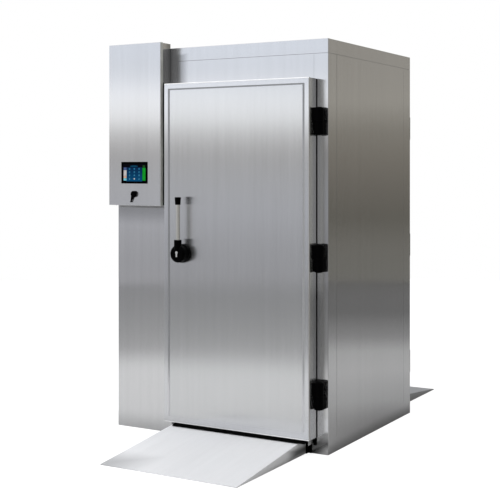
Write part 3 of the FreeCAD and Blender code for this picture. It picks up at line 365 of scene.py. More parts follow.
# %% The group for shaded corners
def shaded_corner_group():
    """1 inside an upright box, fading to 0 outside it by a share of Fade along each axis."""
    group, given, made = new_group(
        "shaded_corner",
        [("Low", "NodeSocketVector", (0, 0, 0)), ("High", "NodeSocketVector", (1, 1, 1)),
         ("Fade", "NodeSocketVector", (1, 1, 1))], [("Mask", "NodeSocketFloat")])
    place = place_in(group)
    below = compute(group, "SUBTRACT", given["Low"], place, kind=VECTOR_MATH)
    above = compute(group, "SUBTRACT", place, given["High"], kind=VECTOR_MATH)
    outside = compute(group, "MAXIMUM", below, above, kind=VECTOR_MATH)
    axes = axes_of(group, compute(group, "DIVIDE", outside, given["Fade"], kind=VECTOR_MATH))
    widest = compute(group, "MAXIMUM", axes["X"], axes["Y"])
    widest = compute(group, "MAXIMUM", widest, axes["Z"])
    mask = remap(group, widest, 0.0, 1.0, 1.0, 0.0, interpolation_type="SMOOTHSTEP")
    group.links.new(mask, made["Mask"])
    return group


BRUSH_STROKES = brush_strokes_group()
HANDLING_MARKS = handling_marks_group()
MOULDED_GRAIN = moulded_grain_group()
SHADED_CORNER = shaded_corner_group()
print(len(bpy.data.node_groups), "node groups")


# %% [markdown]
# ## Brushed steel
# The real panels are stainless sheet brushed upright. The strokes spread every reflection
# sideways, so the shader is anisotropic, with the tangent that Blender gives by default,
# round the upright axis. Strokes also shade the colour by a few percent, and cleaning leaves
# patches where the sheet is slightly duller.

# %% Brushed steel
UPRIGHT = (1.0, 1.0, 0.012)
ALONG_X = (0.012, 1.0, 1.0)
ALONG_Y = (1.0, 0.012, 1.0)


def brushed_steel(name, colour, roughness, strokes=0.025, stretch=UPRIGHT, spread=0.95,
                  mirror=1.0, places=()):
    """Steel with its strokes along one way. A mirror below 1 lets it scatter like blasted sheet.

    Each place is (low corner, high corner, fade, depth, colour): there the colour is mixed
    towards a painted shade or a painted light.
    """
    material, tree, surface = blank_material(name)
    brush = add_node(tree, "ShaderNodeGroup", node_tree=BRUSH_STROKES)
    brush.inputs["Stretch"].default_value = stretch
    marks = add_node(tree, "ShaderNodeGroup", node_tree=HANDLING_MARKS)
    dark = tuple(c * (1 - strokes * 2) for c in colour)
    light = tuple(min(c * (1 + strokes * 2), 1) for c in colour)
    tint = ramp(tree, brush.outputs["Value"], (0.25, dark), (0.75, light))
    for low, high, fade, depth, shade in places:
        corner = add_node(tree, "ShaderNodeGroup", node_tree=SHADED_CORNER)
        for socket, value in (("Low", low), ("High", high), ("Fade", fade)):
            corner.inputs[socket].default_value = value
        amount = compute(tree, "MULTIPLY", corner.outputs["Mask"], depth)
        tint = blend(tree, amount, tint, (*shade, 1))
    worn = remap(tree, brush.outputs["Value"], 0.3, 0.7, roughness * 0.88, roughness * 1.12)
    dull = compute(tree, "MULTIPLY_ADD", marks.outputs["Mask"], 0.012, worn)
    bump = add_node(tree, "ShaderNodeBump", {"Height": brush.outputs["Height"],
                                             "Strength": 0.06, "Distance": 0.0004})
    steel = add_node(tree, "ShaderNodeBsdfPrincipled", {
        "Base Color": tint, "Metallic": mirror, "Roughness": dull,
        "Anisotropic": spread, "Normal": bump.outputs[0]})
    tree.links.new(steel.outputs[0], surface)
    return material


# %% [markdown]
# ## Plastics and rubber
# They are dark enough that only their sheen shows, so what matters is the roughness and the
# fine texture of the mould. Each takes the same moulded grain with its own scale.

# %% Moulded pieces
def moulded(name, colour, roughness, grain=900.0, depth=0.12, sheen=0.5):
    material, tree, surface = blank_material(name)
    skin = add_node(tree, "ShaderNodeGroup", node_tree=MOULDED_GRAIN)
    skin.inputs["Scale"].default_value = grain
    dark = tuple(c * 0.85 for c in colour)
    light = tuple(min(c * 1.15, 1) for c in colour)
    cloud = skin.outputs["Value"]
    bump = add_node(tree, "ShaderNodeBump", {"Height": skin.outputs["Height"],
                                             "Strength": depth, "Distance": 0.0002})
    plastic = add_node(tree, "ShaderNodeBsdfPrincipled", {
        "Base Color": ramp(tree, cloud, (0.3, dark), (0.7, light)),
        "Roughness": remap(tree, cloud, 0.3, 0.7, roughness - 0.05, roughness + 0.05),
        "Specular IOR Level": sheen, "Normal": bump.outputs[0]})
    tree.links.new(plastic.outputs[0], surface)
    return material


# %% [markdown]
# ## Where shade and light are painted on the steel
# Shade is painted into the colour under and beside the control box, on the strip behind the
# hinges, at the feet of the panels and doors, and where the ramps meet the cabinet and floor.
# Light is painted onto the doors' hinge edges. A place is an upright box that fades out,
# measured from a piece's own box where it goes along with that piece. Mixing it into the
# colour costs less than a painted mask.

# %% Places of painted shade and painted light
# The two colours that the places mix in: painted shade, and painted light.
PAINTED_SHADE = (0.0, 0.0, 0.0)
PAINTED_LIGHT = (1.0, 1.0, 0.97)
# Colours of the painted light on the folds.
FOLD_GREY = (0.48, 0.48, 0.48)
FOLD_PALE = (0.68, 0.68, 0.69)

lid_low, lid_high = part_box("control_box_lid")
strip_low, strip_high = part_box("right_corner_panels")
leaf_low, leaf_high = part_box("front_edge_frame")
ramp_low, ramp_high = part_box("front_ramp")
wall = strip_low.y
# Painted shade on the cabinet's panels and on the control box:
PAINTED_SHADE_CABINET = (
    # under the control box
    ((-0.72, wall - 0.01, lid_low.z - 0.02), (-0.35, wall + 0.01, lid_low.z),
     (0.03, 0.003, 0.12), 0.36, PAINTED_SHADE),
    # on the header, to the right of the box
    ((lid_high.x + 0.070, wall - 0.01, 2.06), (lid_high.x + 0.080, wall + 0.01, 2.25),
     (0.055, 0.003, 0.02), 0.34, PAINTED_SHADE),
    # the box's side, next to the wall
    ((lid_high.x - 0.01, wall - 0.012, lid_low.z), (lid_high.x + 0.001, wall, 2.35),
     (0.002, 0.055, 0.02), 0.42, PAINTED_SHADE),
    # the strip behind the hinges
    ((strip_high.x - 0.025, wall - 0.01, 0.55), (strip_high.x - 0.001, wall + 0.001, 1.80),
     (0.045, 0.001, 0.30), 0.34, PAINTED_SHADE),
    # the foot of the left panel, and of the right side
    ((-0.72, wall - 0.01, -0.02), (0.30, wall + 0.01, 0.0), (0.25, 0.003, 0.12), 0.25, PAINTED_SHADE),
    ((strip_high.x - 0.001, -0.62, -0.02), (strip_high.x + 0.01, 0.62, 0.0),
     (0.001, 0.01, 0.08), 0.45, PAINTED_SHADE))
# painted light on the hinge edge of each door
PAINTED_LIGHT_EDGE = (
    ((leaf_high.x - 0.0005, -1.0, 0.60), (leaf_high.x + 0.01, wall - 0.075, 2.20),
     (0.0005, 0.05, 0.30), 1.0, PAINTED_LIGHT),
    ((leaf_high.x - 0.0005, -wall + 0.075, 0.60), (leaf_high.x + 0.01, 1.0, 2.20),
     (0.0005, 0.05, 0.30), 1.0, PAINTED_LIGHT))
# painted shade at the foot of each door, on the handle's side
PAINTED_SHADE_LEAF = (
    ((leaf_low.x - 0.02, -1.0, -0.10), (0.05, 1.0, 0.085), (0.50, 0.01, 0.07), 0.15, PAINTED_SHADE),)
# Painted shade on the ramps:
PAINTED_SHADE_RAMP = (
    # the front ramp's right cheek, and its left toe
    ((ramp_high.x - 0.006, -0.72, 0.025), (ramp_high.x + 0.01, -0.60, 0.030),
     (0.005, 0.16, 0.035), 0.80, PAINTED_SHADE),
    ((ramp_low.x - 0.01, ramp_low.y - 0.01, -0.01), (ramp_low.x + 0.01, ramp_low.y + 0.03, 0.05),
     (0.30, 0.22, 0.10), 0.42, PAINTED_SHADE),
    # the rear ramp's plate in the cabinet's shade, and its cheek
    ((ramp_high.x - 0.14, 0.60, -0.01), (ramp_high.x + 0.01, 1.39, 0.30),
     (0.60, 0.01, 0.10), 0.61, PAINTED_SHADE),
    ((ramp_high.x - 0.006, 0.60, -0.01), (ramp_high.x + 0.01, 1.39, 0.0),
     (0.005, 0.01, 0.06), 0.15, PAINTED_SHADE))
# painted light: the folds of each door are painted paler on the hinges' side and at the foot
PAINTED_LIGHT_FOLD = (
    ((0.55, -1.0, 0.20), (0.65, 1.0, 1.60), (0.02, 0.01, 0.40), 0.8, FOLD_GREY),
    ((-0.40, -1.0, -0.10), (0.65, 1.0, 0.26), (0.02, 0.01, 0.25), 1.0, FOLD_PALE))
print(len(PAINTED_SHADE_CABINET), "places on the cabinet,", len(PAINTED_SHADE_RAMP), "on the ramps")

# %% [markdown]
# ## The finishes
# There is one for each slot of the record, and a few more for trims. Plated and drawn metals
# are the same steel with no sideways spread, and satin sheet spreads a little. Tables of
# colour, roughness and whatever else is special keep them easy to compare.

# %% Tables of finishes
PLAIN = {"strokes": 0.03, "spread": 0.0}
SATIN = {"strokes": 0.02, "spread": 0.3}
STEELS = {
    "cabinet_steel": ((0.64, 0.64, 0.645), 0.13, {"mirror": 0.96, "places": PAINTED_SHADE_CABINET}),
    "lid_steel": ((0.625, 0.625, 0.63), 0.16, {"mirror": 0.96}),
    "leaf_steel": ((0.615, 0.62, 0.625), 0.18,
                   {"strokes": 0.028, "mirror": 0.96, "places": PAINTED_SHADE_LEAF}),
    "edge_steel": ((0.635, 0.64, 0.655), 0.18,
                   {"mirror": 0.96, "places": PAINTED_LIGHT_EDGE + PAINTED_SHADE_LEAF}),
    # Painted light and shade on the doors' rims: the hems, the rolls and the folds.
    "hem_steel": ((0.56, 0.555, 0.53), 0.50, {**SATIN, "mirror": 0.35}),
    "roll_steel": ((0.97, 0.97, 0.97), 0.40, {"strokes": 0.01, "stretch": ALONG_X, "spread": 0.0,
                                              "mirror": 0.15, "places": PAINTED_SHADE_LEAF * 2}),
    "fold_steel": ((0.33, 0.335, 0.34), 0.50, {**SATIN, "mirror": 0.85, "places": PAINTED_LIGHT_FOLD}),
    "frame_steel": ((0.55, 0.55, 0.55), 0.24, {}),
    "ramp_steel": ((0.86, 0.865, 0.88), 0.50,
                   {**SATIN, "stretch": ALONG_Y, "mirror": 0.4, "places": PAINTED_SHADE_RAMP}),
    "grip_steel": ((0.66, 0.65, 0.61), 0.11, {"spread": 0.0, "mirror": 0.95}),
    "lock_nickel": ((0.72, 0.72, 0.70), 0.28, PLAIN),
    "wire_steel": ((0.66, 0.66, 0.67), 0.22, PLAIN),
    "zinc_plate": ((0.62, 0.63, 0.64), 0.45, PLAIN),
    "copper": ((0.72, 0.40, 0.26), 0.30, PLAIN),
    "fin_aluminium": ((0.78, 0.79, 0.80), 0.40, PLAIN),
}
MOULDINGS = {
    "grey_foam": ((0.16, 0.16, 0.165), 0.60, {}),
    "black_plastic": ((0.0006, 0.0006, 0.0008), 0.40, {"sheen": 0.02}),
    "black_gloss": ((0.0004, 0.0004, 0.0005), 0.20, {"depth": 0.02, "sheen": 0.01}),
    "black_rubber": ((0.0006, 0.0006, 0.0006), 0.62, {"sheen": 0.02}),
    "motor_black": ((0.03, 0.03, 0.03), 0.40, {}),
    "fan_plastic": ((0.05, 0.05, 0.055), 0.45, {}),
    "gear_plastic": ((0.30, 0.31, 0.32), 0.50, {}),
    "drain_plastic": ((0.45, 0.45, 0.46), 0.45, {}),
    "lamp_plastic": ((0.85, 0.85, 0.83), 0.30, {"depth": 0.05}),
    "knob_plastic": ((0.05, 0.35, 0.14), 0.38, {}),
    "screen_display": ((0.001, 0.001, 0.003), 0.15, {"depth": 0.0, "sheen": 0.03}),
    "edge_guard": ((0.50, 0.51, 0.48), 0.35, {}),
    # Grey sealant under the control box, whose grey is also a painted shadow of the box.
    "sealant": ((0.26, 0.26, 0.265), 0.45, {"grain": 300.0}),
}
FINISHES = {}
for maker, table in ((brushed_steel, STEELS), (moulded, MOULDINGS)):
    for label, (colour, roughness, more) in table.items():
        FINISHES[label] = maker(label, colour, roughness, **more)
print(len(STEELS), "metals and", len(MOULDINGS), "mouldings")

# %% Give every node of the frame its finish
slot_of = {part["node"]: part["material_slot"] for part in frame["record"]["subparts"]}
for node_name, node in frame["nodes"].items():
    node.data.materials.clear()
    node.data.materials.append(FINISHES[slot_of[node_name]])
print("finished", len(slot_of), "nodes with", len(FINISHES), "materials")


# %% [markdown]
# ## Modelling helpers
# A bmesh starts from a primitive or a few points, and operators shape it. When a piece is
# done its faces are turned outwards, its sharp edges are marked, and it is hung on the body
# that carries it. A piece of the front door is flipped to make the same piece at the back.

# %% Helpers for pieces
UP, DOWN = (0, 0, 1), (0, 0, -1)
FORWARD, BACKWARD = (0, -1, 0), (0, 1, 0)
RIGHTWARD = (1, 0, 0)
MERGE_DISTANCE = 0.002 * MM


def finish_piece(name, shape, finish, body, slot=None, sharp=32.0):
    """Turn a bmesh into an object with a finish, riding on a body. The slot is not used."""
    bmesh.ops.remove_doubles(shape, verts=shape.verts, dist=MERGE_DISTANCE)
    bmesh.ops.recalc_face_normals(shape, faces=shape.faces)
    mesh = bpy.data.meshes.new(name)
    shape.to_mesh(mesh)
    shape.free()
    for polygon in mesh.polygons:
        polygon.use_smooth = True
    mesh.set_sharp_from_angle(angle=radians(sharp))
    mesh.materials.append(FINISHES[finish])
    piece = bpy.data.objects.new(name, mesh)
    scene.collection.objects.link(piece)
    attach(piece, body)
    print(name, len(mesh.polygons), "faces")


def make_at_ends(name, draw, finish, carrier, **settings):
    """Draw a piece at the front and, mirrored, at the rear, on the cabinet or on each door."""
    for end in ENDS:
        shape = bmesh.new()
        draw(shape)
        if end == "rear":
            bmesh.ops.scale(shape, vec=(1, -1, 1), verts=shape.verts)
        body = "cabinet" if carrier == "cabinet" else f"{end}_{carrier}"
        finish_piece(f"{end}_{name}", shape, finish, body, **settings)


# %% Helpers for shapes
def add_block(shape, low, high, rounding=0.0):
    """A box between two corners, with its edges rounded if asked."""
    low, high = Vector(low), Vector(high)
    corners = bmesh.ops.create_cube(shape, size=1)["verts"]
    bmesh.ops.scale(shape, vec=high - low, verts=corners)
    bmesh.ops.translate(shape, vec=(low + high) / 2, verts=corners)
    if rounding:
        edges = list({edge for corner in corners for edge in corner.link_edges})
        bmesh.ops.bevel(shape, geom=edges, offset=rounding, offset_type="OFFSET", segments=2,
                        profile=0.5, affect="EDGES", clamp_overlap=True, material=-1)


def stand_along(shape, corners, axis, centre):
    """Turn corners from the upright axis to another, and move them to a centre."""
    turn = Vector(UP).rotation_difference(Vector(axis)).to_matrix()
    bmesh.ops.rotate(shape, matrix=turn, verts=corners)
    bmesh.ops.translate(shape, vec=centre, verts=corners)


def add_disc(shape, centre, radius, depth, axis, segments=24):
    """A short cylinder that stands on its centre and rises along an axis."""
    made = bmesh.ops.create_cone(shape, cap_ends=True, segments=segments, radius1=radius,
                                 radius2=radius, depth=depth)["verts"]
    bmesh.ops.translate(shape, vec=(0, 0, depth / 2), verts=made)
    stand_along(shape, made, axis, centre)


def add_turned(shape, profile, centre, axis, steps=20):
    """Spin (radius, height) points round an axis through a centre."""
    before = set(shape.verts)
    points = [shape.verts.new((radius, 0, height)) for radius, height in profile]
    edges = [shape.edges.new(pair) for pair in zip(points, points[1:])]
    bmesh.ops.spin(shape, geom=points + edges, cent=(0, 0, 0), axis=UP, angle=2 * pi,
                   steps=steps, use_merge=True)
    stand_along(shape, [corner for corner in shape.verts if corner not in before], axis, centre)


def add_extruded(shape, outline, along):
    """A solid pulled out of a flat outline."""
    base = shape.faces.new([shape.verts.new(corner) for corner in outline])
    made = bmesh.ops.extrude_face_region(shape, geom=[base])["geom"]
    bmesh.ops.translate(shape, vec=along,
                        verts=[item for item in made if isinstance(item, bmesh.types.BMVert)])


def add_screw(shape, centre, axis, radius):
    """A low round head with a socket."""
    height = radius * 0.45
    add_turned(shape, [(0, 0), (radius, 0), (radius, height * 0.4), (radius * 0.8, height),
                       (radius * 0.45, height), (radius * 0.4, height * 0.4), (0, height * 0.4)],
               centre, axis, 12)


# %% [markdown]
# ## The touch screen's picture
# The real display shows a menu: a bar of coloured keys on the left, rows of round buttons in the
# middle, an arc at the top and one green bar. It is made as thin tiles with glowing finishes,
# because tiles stay crisp at any size, where a painted texture would need an image.

# %% Glowing finishes for the display
def lit_patch(name, shade):
    """Display behind glass: under a clear sheen it gives the light that shade(tree) makes."""
    material, tree, surface = blank_material(name)
    patch = add_node(tree, "ShaderNodeBsdfPrincipled", {
        "Base Color": (0.001, 0.001, 0.001, 1), "Roughness": 0.15, "Specular IOR Level": 0.05,
        "Emission Color": shade(tree), "Emission Strength": 1.0})
    tree.links.new(patch.outputs[0], surface)
    return material


def glowing(name, colour):
    """One colour, slightly clouded."""
    def shade(tree):
        cloud = add_node(tree, "ShaderNodeTexNoise", {"Vector": place_in(tree), "Scale": 60.0})
        dark = tuple(c * 0.75 for c in colour)
        return ramp(tree, cloud.outputs["Fac"], (0.35, dark), (0.65, colour))
    return lit_patch(name, shade)


def glowing_menu(name, bottom, top, low, high):
    """A colour that runs from the bottom of the panel to its top."""
    def shade(tree):
        rise = remap(tree, axes_of(tree, place_in(tree))["Z"], low, high)
        return ramp(tree, rise, (0.0, bottom), (1.0, top))
    return lit_patch(name, shade)


screen_low, screen_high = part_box("touch_screen")
GLOWS = {
    "glow_button": (0.0, 0.092, 0.200), "glow_teal": (0.0, 0.052, 0.110),
    "glow_icon": (0.090, 0.320, 0.480), "glow_indigo": (0.065, 0.100, 0.240),
    "glow_white": (0.58, 0.56, 0.55), "glow_orange": (0.66, 0.42, 0.31),
    "glow_cyan": (0.18, 0.58, 0.68), "glow_green": (0.004, 0.300, 0.020),
    "glow_dim_green": (0.010, 0.070, 0.012)}
for label, colour in GLOWS.items():
    FINISHES[label] = glowing(label, colour)
FINISHES["glow_menu"] = glowing_menu("glow_menu", (0.0, 0.060, 0.155), (0.0, 0.003, 0.030),
                                     screen_low.z, screen_high.z)
print(len(GLOWS) + 1, "glowing finishes")

# %% Tiles of the display
TILE = 0.2 * MM


def on_screen(across, down):
    """A point of the display from shares of its width and height, counted from the top left."""
    return (screen_low.x + (screen_high.x - screen_low.x) * across,
            screen_high.z - (screen_high.z - screen_low.z) * down)


def tile(shape, left, top, right, bottom, layer=1):
    x0, z1 = on_screen(left, top)
    x1, z0 = on_screen(right, bottom)
    front = screen_low.y
    add_block(shape, (x0, front - TILE * layer, z0), (x1, front - TILE * (layer - 1), z1))


def button(shape, across, down, radius, layer):
    x, z = on_screen(across, down)
    add_disc(shape, (x, screen_low.y - TILE * (layer - 1), z), radius, TILE, FORWARD, 16)


def make_tiles(name, finish, draw):
    shape = bmesh.new()
    draw(shape)
    finish_piece(name, shape, finish, "cabinet", slot="screen_display")


# %% The menu's buttons and icons
BUTTON_COLUMNS = (0.30, 0.505, 0.71)
BUTTON_ROWS = (0.29, 0.47, 0.65, 0.85)
BUTTON_RADIUS = 6.6 * MM
BRIGHT_RADIUS = 4.6 * MM
ARC_PLACE = (0.49, 0.13)
ARC_HALF_WIDTH = 29 * MM
ARC_HALF_HEIGHT = 5 * MM


def draw_buttons(shape):
    for down in BUTTON_ROWS:
        for across in BUTTON_COLUMNS:
            button(shape, across, down, BUTTON_RADIUS, 2)


def draw_icons(shape):
    """Each button's icon: a short bar over a dot, heavier in the lower rows."""
    for row, down in enumerate(BUTTON_ROWS):
        for across in BUTTON_COLUMNS:
            button(shape, across, down + 0.02, (1.4 + 0.5 * row) * MM, 3)
            tile(shape, across - 0.018, down - 0.035, across + 0.018, down - 0.020, 3)


def draw_arc(shape):
    """A flat oval, like the top of a dial."""
    x, z = on_screen(*ARC_PLACE)
    add_disc(shape, (0, 0, 0), 1.0, TILE, FORWARD)
    bmesh.ops.scale(shape, vec=(ARC_HALF_WIDTH, 1, ARC_HALF_HEIGHT), verts=shape.verts)
    bmesh.ops.translate(shape, vec=(x, screen_low.y, z), verts=shape.verts)


make_tiles("display_menu", "glow_menu", lambda shape: tile(shape, 0.17, 0.19, 0.845, 0.99))
make_tiles("display_buttons", "glow_button", draw_buttons)
make_tiles("display_icons", "glow_icon", draw_icons)
make_tiles("display_arc", "glow_teal", draw_arc)
make_tiles("display_bright_button", "glow_white",
           lambda shape: button(shape, BUTTON_COLUMNS[1], BUTTON_ROWS[-1], BRIGHT_RADIUS, 4))
make_tiles("display_go_bar", "glow_green", lambda shape: tile(shape, 0.855, 0.22, 0.985, 0.95))
make_tiles("display_go_bar_top", "glow_dim_green",
           lambda shape: tile(shape, 0.865, 0.08, 0.965, 0.21))
for key, top, bottom in (("indigo", 0.20, 0.35), ("white", 0.36, 0.69),
                         ("orange", 0.70, 0.81), ("cyan", 0.82, 0.95)):
    make_tiles(f"display_key_{key}", f"glow_{key}",
               lambda shape, top=top, bottom=bottom: tile(shape, 0.04, top, 0.165, bottom))


# %% [markdown]
# ## The strip round each door's skin
# The leaf is two folded sheets: a narrow frame, and a skin set into it. A strip of the same
# steel fills the channel between them. It stops short of the frame and leaves a dark hairline,
# which is widest along the top and closed along the bottom. Two rectangles of edges are drawn,
# bridge_loops lays the four faces between them, and solidify gives them the sheet's thickness.

# %% The strip round each door's skin
SIDE_HAIRLINE = 1.2 * MM
TOP_HAIRLINE = 2.0 * MM
FOOT_HAIRLINE = 0.1 * MM
SKIN_LAP = 0.1 * MM
EDGE_WIDTH = 35 * MM
STRIP_SHEET = 0.4 * MM

skin_low, skin_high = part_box("front_outer_skin")


def rectangle_loop(shape, left, right, bottom, top, y):
    """Four edges round an upright rectangle."""
    corners = [shape.verts.new(place) for place in
               ((left, y, bottom), (right, y, bottom), (right, y, top), (left, y, top))]
    return [shape.edges.new((corners[index - 1], corners[index])) for index in range(4)]


def draw_strip(shape):
    outer = rectangle_loop(shape, leaf_low.x + EDGE_WIDTH + SIDE_HAIRLINE,
                           leaf_high.x - EDGE_WIDTH - SIDE_HAIRLINE,
                           leaf_low.z + EDGE_WIDTH + FOOT_HAIRLINE,
                           leaf_high.z - EDGE_WIDTH - TOP_HAIRLINE, skin_low.y)
    inner = rectangle_loop(shape, skin_low.x - SKIN_LAP, skin_high.x + SKIN_LAP,
                           skin_low.z - SKIN_LAP, skin_high.z + SKIN_LAP, skin_low.y)
    bmesh.ops.bridge_loops(shape, edges=outer + inner)
    bmesh.ops.solidify(shape, geom=shape.faces[:], thickness=STRIP_SHEET)


make_at_ends("skin_strip", draw_strip, "edge_steel", "door")
print("doors", round(leaf_high.x - leaf_low.x, 3), "by", round(leaf_high.z - leaf_low.z, 3), "m")

# %% [markdown]
# ## Folds, hems and rolled edges
# A sheet is stiffened by what is done to its rim: a fold stands round the skin, the leaf's
# sides are hemmed, and its top and foot are rolled. Plain blocks and cylinders do for all
# three, since only their light edge is seen. Their colours are painted light and shade: the
# folds' dark grey is a painted shade along the step round the skin, painted paler towards the
# hinges and the foot; the hems' warm satin paints the light along the bend of each side; and
# the rolls' near-white paints a highlight along the top and the foot.

# %% Folds round each leaf's sheet
FOLD_WIDTH = 12 * MM
TOP_FOLD_WIDTH = 9 * MM
FOLD_SHEET = 0.3 * MM
FOLD_GAP = 5 * MM


def draw_folds(shape):
    front = leaf_low.y
    top = skin_high.z + FOLD_GAP + TOP_FOLD_WIDTH
    left = skin_low.x - FOLD_GAP - FOLD_WIDTH
    right = skin_high.x + FOLD_GAP
    for start in (left, right):
        add_block(shape, (start, front - FOLD_SHEET, skin_low.z), (start + FOLD_WIDTH, front, top))
    add_block(shape, (left + FOLD_WIDTH, front - FOLD_SHEET, top - TOP_FOLD_WIDTH),
              (right, front, top))


make_at_ends("skin_folds", draw_folds, "fold_steel", "door", slot="edge_steel")

# %% Hems on its sides, and rolls along its top and foot
HEM_DEPTH = 13 * MM
HEM_MARGIN = 1 * MM
ROLL_RADIUS = 3.0 * MM
ROLL_PROUD = 1.2 * MM


def draw_hems(shape):
    for start in (leaf_low.x - FOLD_SHEET, leaf_high.x):
        add_block(shape, (start, leaf_low.y + HEM_MARGIN, leaf_low.z + HEM_MARGIN),
                  (start + FOLD_SHEET, leaf_low.y + HEM_DEPTH, leaf_high.z - HEM_MARGIN))


def draw_rolls(shape):
    sunk = ROLL_RADIUS - ROLL_PROUD
    for height in (leaf_high.z - sunk, leaf_low.z + sunk):
        add_disc(shape, (leaf_low.x, leaf_low.y + sunk, height), ROLL_RADIUS,
                 leaf_high.x - leaf_low.x, RIGHTWARD, 12)


make_at_ends("leaf_hems", draw_hems, "hem_steel", "door", slot="edge_steel")
make_at_ends("leaf_rolls", draw_rolls, "roll_steel", "door", slot="edge_steel", sharp=60.0)

# %% [markdown]
# ## Caps on the hinges
# Each hinge's pin is closed by a domed cap above and below. The upper cap turns with the door.
# A cap is a short profile, spun round the pin.

# %% Caps on the hinges
HINGE_RADIUS = 28 * MM
HINGE_HEIGHT = 150 * MM
HINGES_OF_A_DOOR = 3
CAP_RADIUS = 19 * MM
CAP_RISE = 4 * MM
CAP_PROFILE = [(0, 0), (CAP_RADIUS, 0), (CAP_RADIUS * 0.92, CAP_RISE * 0.5),
               (CAP_RADIUS * 0.6, CAP_RISE * 0.9), (0, CAP_RISE)]

door_hinge_low, door_hinge_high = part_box("front_door_hinges")
pin_x = door_hinge_high.x - HINGE_RADIUS
pin_y = door_hinge_low.y + HINGE_RADIUS
top_of_hinges = door_hinge_high.z
foot_of_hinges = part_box("frame_hinges")[0].z
hinge_spread = (top_of_hinges - foot_of_hinges - HINGE_HEIGHT) / (HINGES_OF_A_DOOR - 1)


def draw_top_caps(shape):
    for step in range(HINGES_OF_A_DOOR):
        add_turned(shape, CAP_PROFILE, (pin_x, pin_y, top_of_hinges - step * hinge_spread), UP)


def draw_foot_caps(shape):
    for step in range(HINGES_OF_A_DOOR):
        add_turned(shape, CAP_PROFILE, (pin_x, pin_y, foot_of_hinges + step * hinge_spread), DOWN)


make_at_ends("hinge_top_caps", draw_top_caps, "black_plastic", "door")
make_at_ends("hinge_foot_caps", draw_foot_caps, "black_plastic", "cabinet")
print("hinges every", round(hinge_spread, 3), "m")

# %% [markdown]
# ## Round the handle
# Under the rose of each handle lies a rubber gasket a little wider than it is. Inside the
# door, a screwed plate carries the release knob. Both are spun from a closed section.

# %% Gasket under each rose, and plate under each release knob
GASKET_RIM = 1.5 * MM
GASKET_HOLE_SHARE = 0.8
PLATE_RADIUS = 40 * MM
PLATE_HOLE = 14 * MM
PLATE_SHEET = 1.0 * MM
SCREW_CIRCLE = 33 * MM
PLATE_SCREW = 3.2 * MM
ROUND_STEPS = 48

rose_low, rose_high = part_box("front_rose")
inner_skin_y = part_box("front_inner_skin")[1].y
handle_x = (rose_low.x + rose_high.x) / 2
handle_z = (rose_low.z + rose_high.z) / 2
rose_radius = (rose_high.x - rose_low.x) / 2


def draw_gasket(shape):
    depth = skin_low.y - rose_high.y
    hole, rim = rose_radius * GASKET_HOLE_SHARE, rose_radius + GASKET_RIM
    add_turned(shape, [(hole, 0), (rim, 0), (rim, depth), (hole, depth), (hole, 0)],
               (handle_x, skin_low.y, handle_z), FORWARD, ROUND_STEPS)


def draw_plate(shape):
    add_turned(shape, [(PLATE_HOLE, 0), (PLATE_RADIUS, 0),
                       (PLATE_RADIUS - PLATE_SHEET, PLATE_SHEET), (PLATE_HOLE, PLATE_SHEET),
                       (PLATE_HOLE, 0)],
               (handle_x, inner_skin_y, handle_z), BACKWARD, ROUND_STEPS)
    for angle in (radians(90), radians(210), radians(330)):
        add_screw(shape, (handle_x + SCREW_CIRCLE * cos(angle), inner_skin_y + PLATE_SHEET,
                          handle_z + SCREW_CIRCLE * sin(angle)), BACKWARD, PLATE_SCREW)


make_at_ends("rose_gasket", draw_gasket, "black_rubber", "door")
make_at_ends("knob_plate", draw_plate, "lock_nickel", "door")

# %% [markdown]
# ## Rubber at the foot of each doorway
# The magnetic seal stops just above the floor slab, and a short rubber block on the cabinet
# closes the corner below it. Another block, bent round the ramp's heel, fills the corner
# between the ramp and the cabinet, and a pad faces the foot of the jamb. The heel block's
# black is also a painted shade, in the dark corner between the ramp's cheek and the cabinet.

# %% Rubber, and painted shade, at the foot of each doorway
FOOT_GAP = 0.8 * MM
BACK_GAP = 0.4 * MM
SEAL_FOOT_WIDTH = 15.5 * MM
SEAL_FOOT_DEPTH = 9.0 * MM
SEAL_FOOT_DROP = 38 * MM
SEAL_FOOT_ROUND = 1.0 * MM
HEEL_WRAP = 26 * MM
HEEL_REACH = 24 * MM
HEEL_THICKNESS = 4.5 * MM
PAD_WIDTH = 15 * MM
PAD_THICKNESS = 1.2 * MM
PAD_ROUND = 0.3 * MM

seal_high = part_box("front_seals")[1]
floor_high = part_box("floor_panel")[1]
jamb_low, jamb_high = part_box("door_frames")
face = -floor_high.y


def draw_foot_rubber_and_shade(shape):
    add_block(shape, (seal_high.x - SEAL_FOOT_WIDTH, face - SEAL_FOOT_DEPTH,
                      floor_high.z - SEAL_FOOT_DROP),
              (seal_high.x, face - BACK_GAP, floor_high.z + FOOT_GAP), SEAL_FOOT_ROUND)
    add_block(shape, (jamb_high.x - PAD_WIDTH, jamb_low.y - PAD_THICKNESS, jamb_low.z),
              (jamb_high.x, jamb_low.y, floor_high.z), PAD_ROUND)
    # The heel block: black rubber that is also a painted shade in the corner by the ramp's cheek.
    right, back = ramp_high.x + BACK_GAP, face - BACK_GAP
    outline = [(right, back - HEEL_WRAP), (right + HEEL_THICKNESS, back - HEEL_WRAP),
               (right + HEEL_THICKNESS, back - HEEL_THICKNESS),
               (right + HEEL_REACH, back - HEEL_THICKNESS), (right + HEEL_REACH, back),
               (right, back)]
    add_extruded(shape, [(x, y, 0.0) for x, y in outline], (0, 0, jamb_low.z - BACK_GAP))


make_at_ends("foot_rubber_and_shade", draw_foot_rubber_and_shade, "black_rubber", "cabinet")


# %% [markdown]
# ## Seams and trims of the cabinet
# Panels that hook together leave a narrow joint that is filled with dark sealant. The bead
# lies just under the surface, in the groove between the two bevels. Under the control box it
# is a grey wedge: thick where it meets the box's floor, and run out thin on the wall. Its grey
# is sealant, and also a painted shadow of the box.

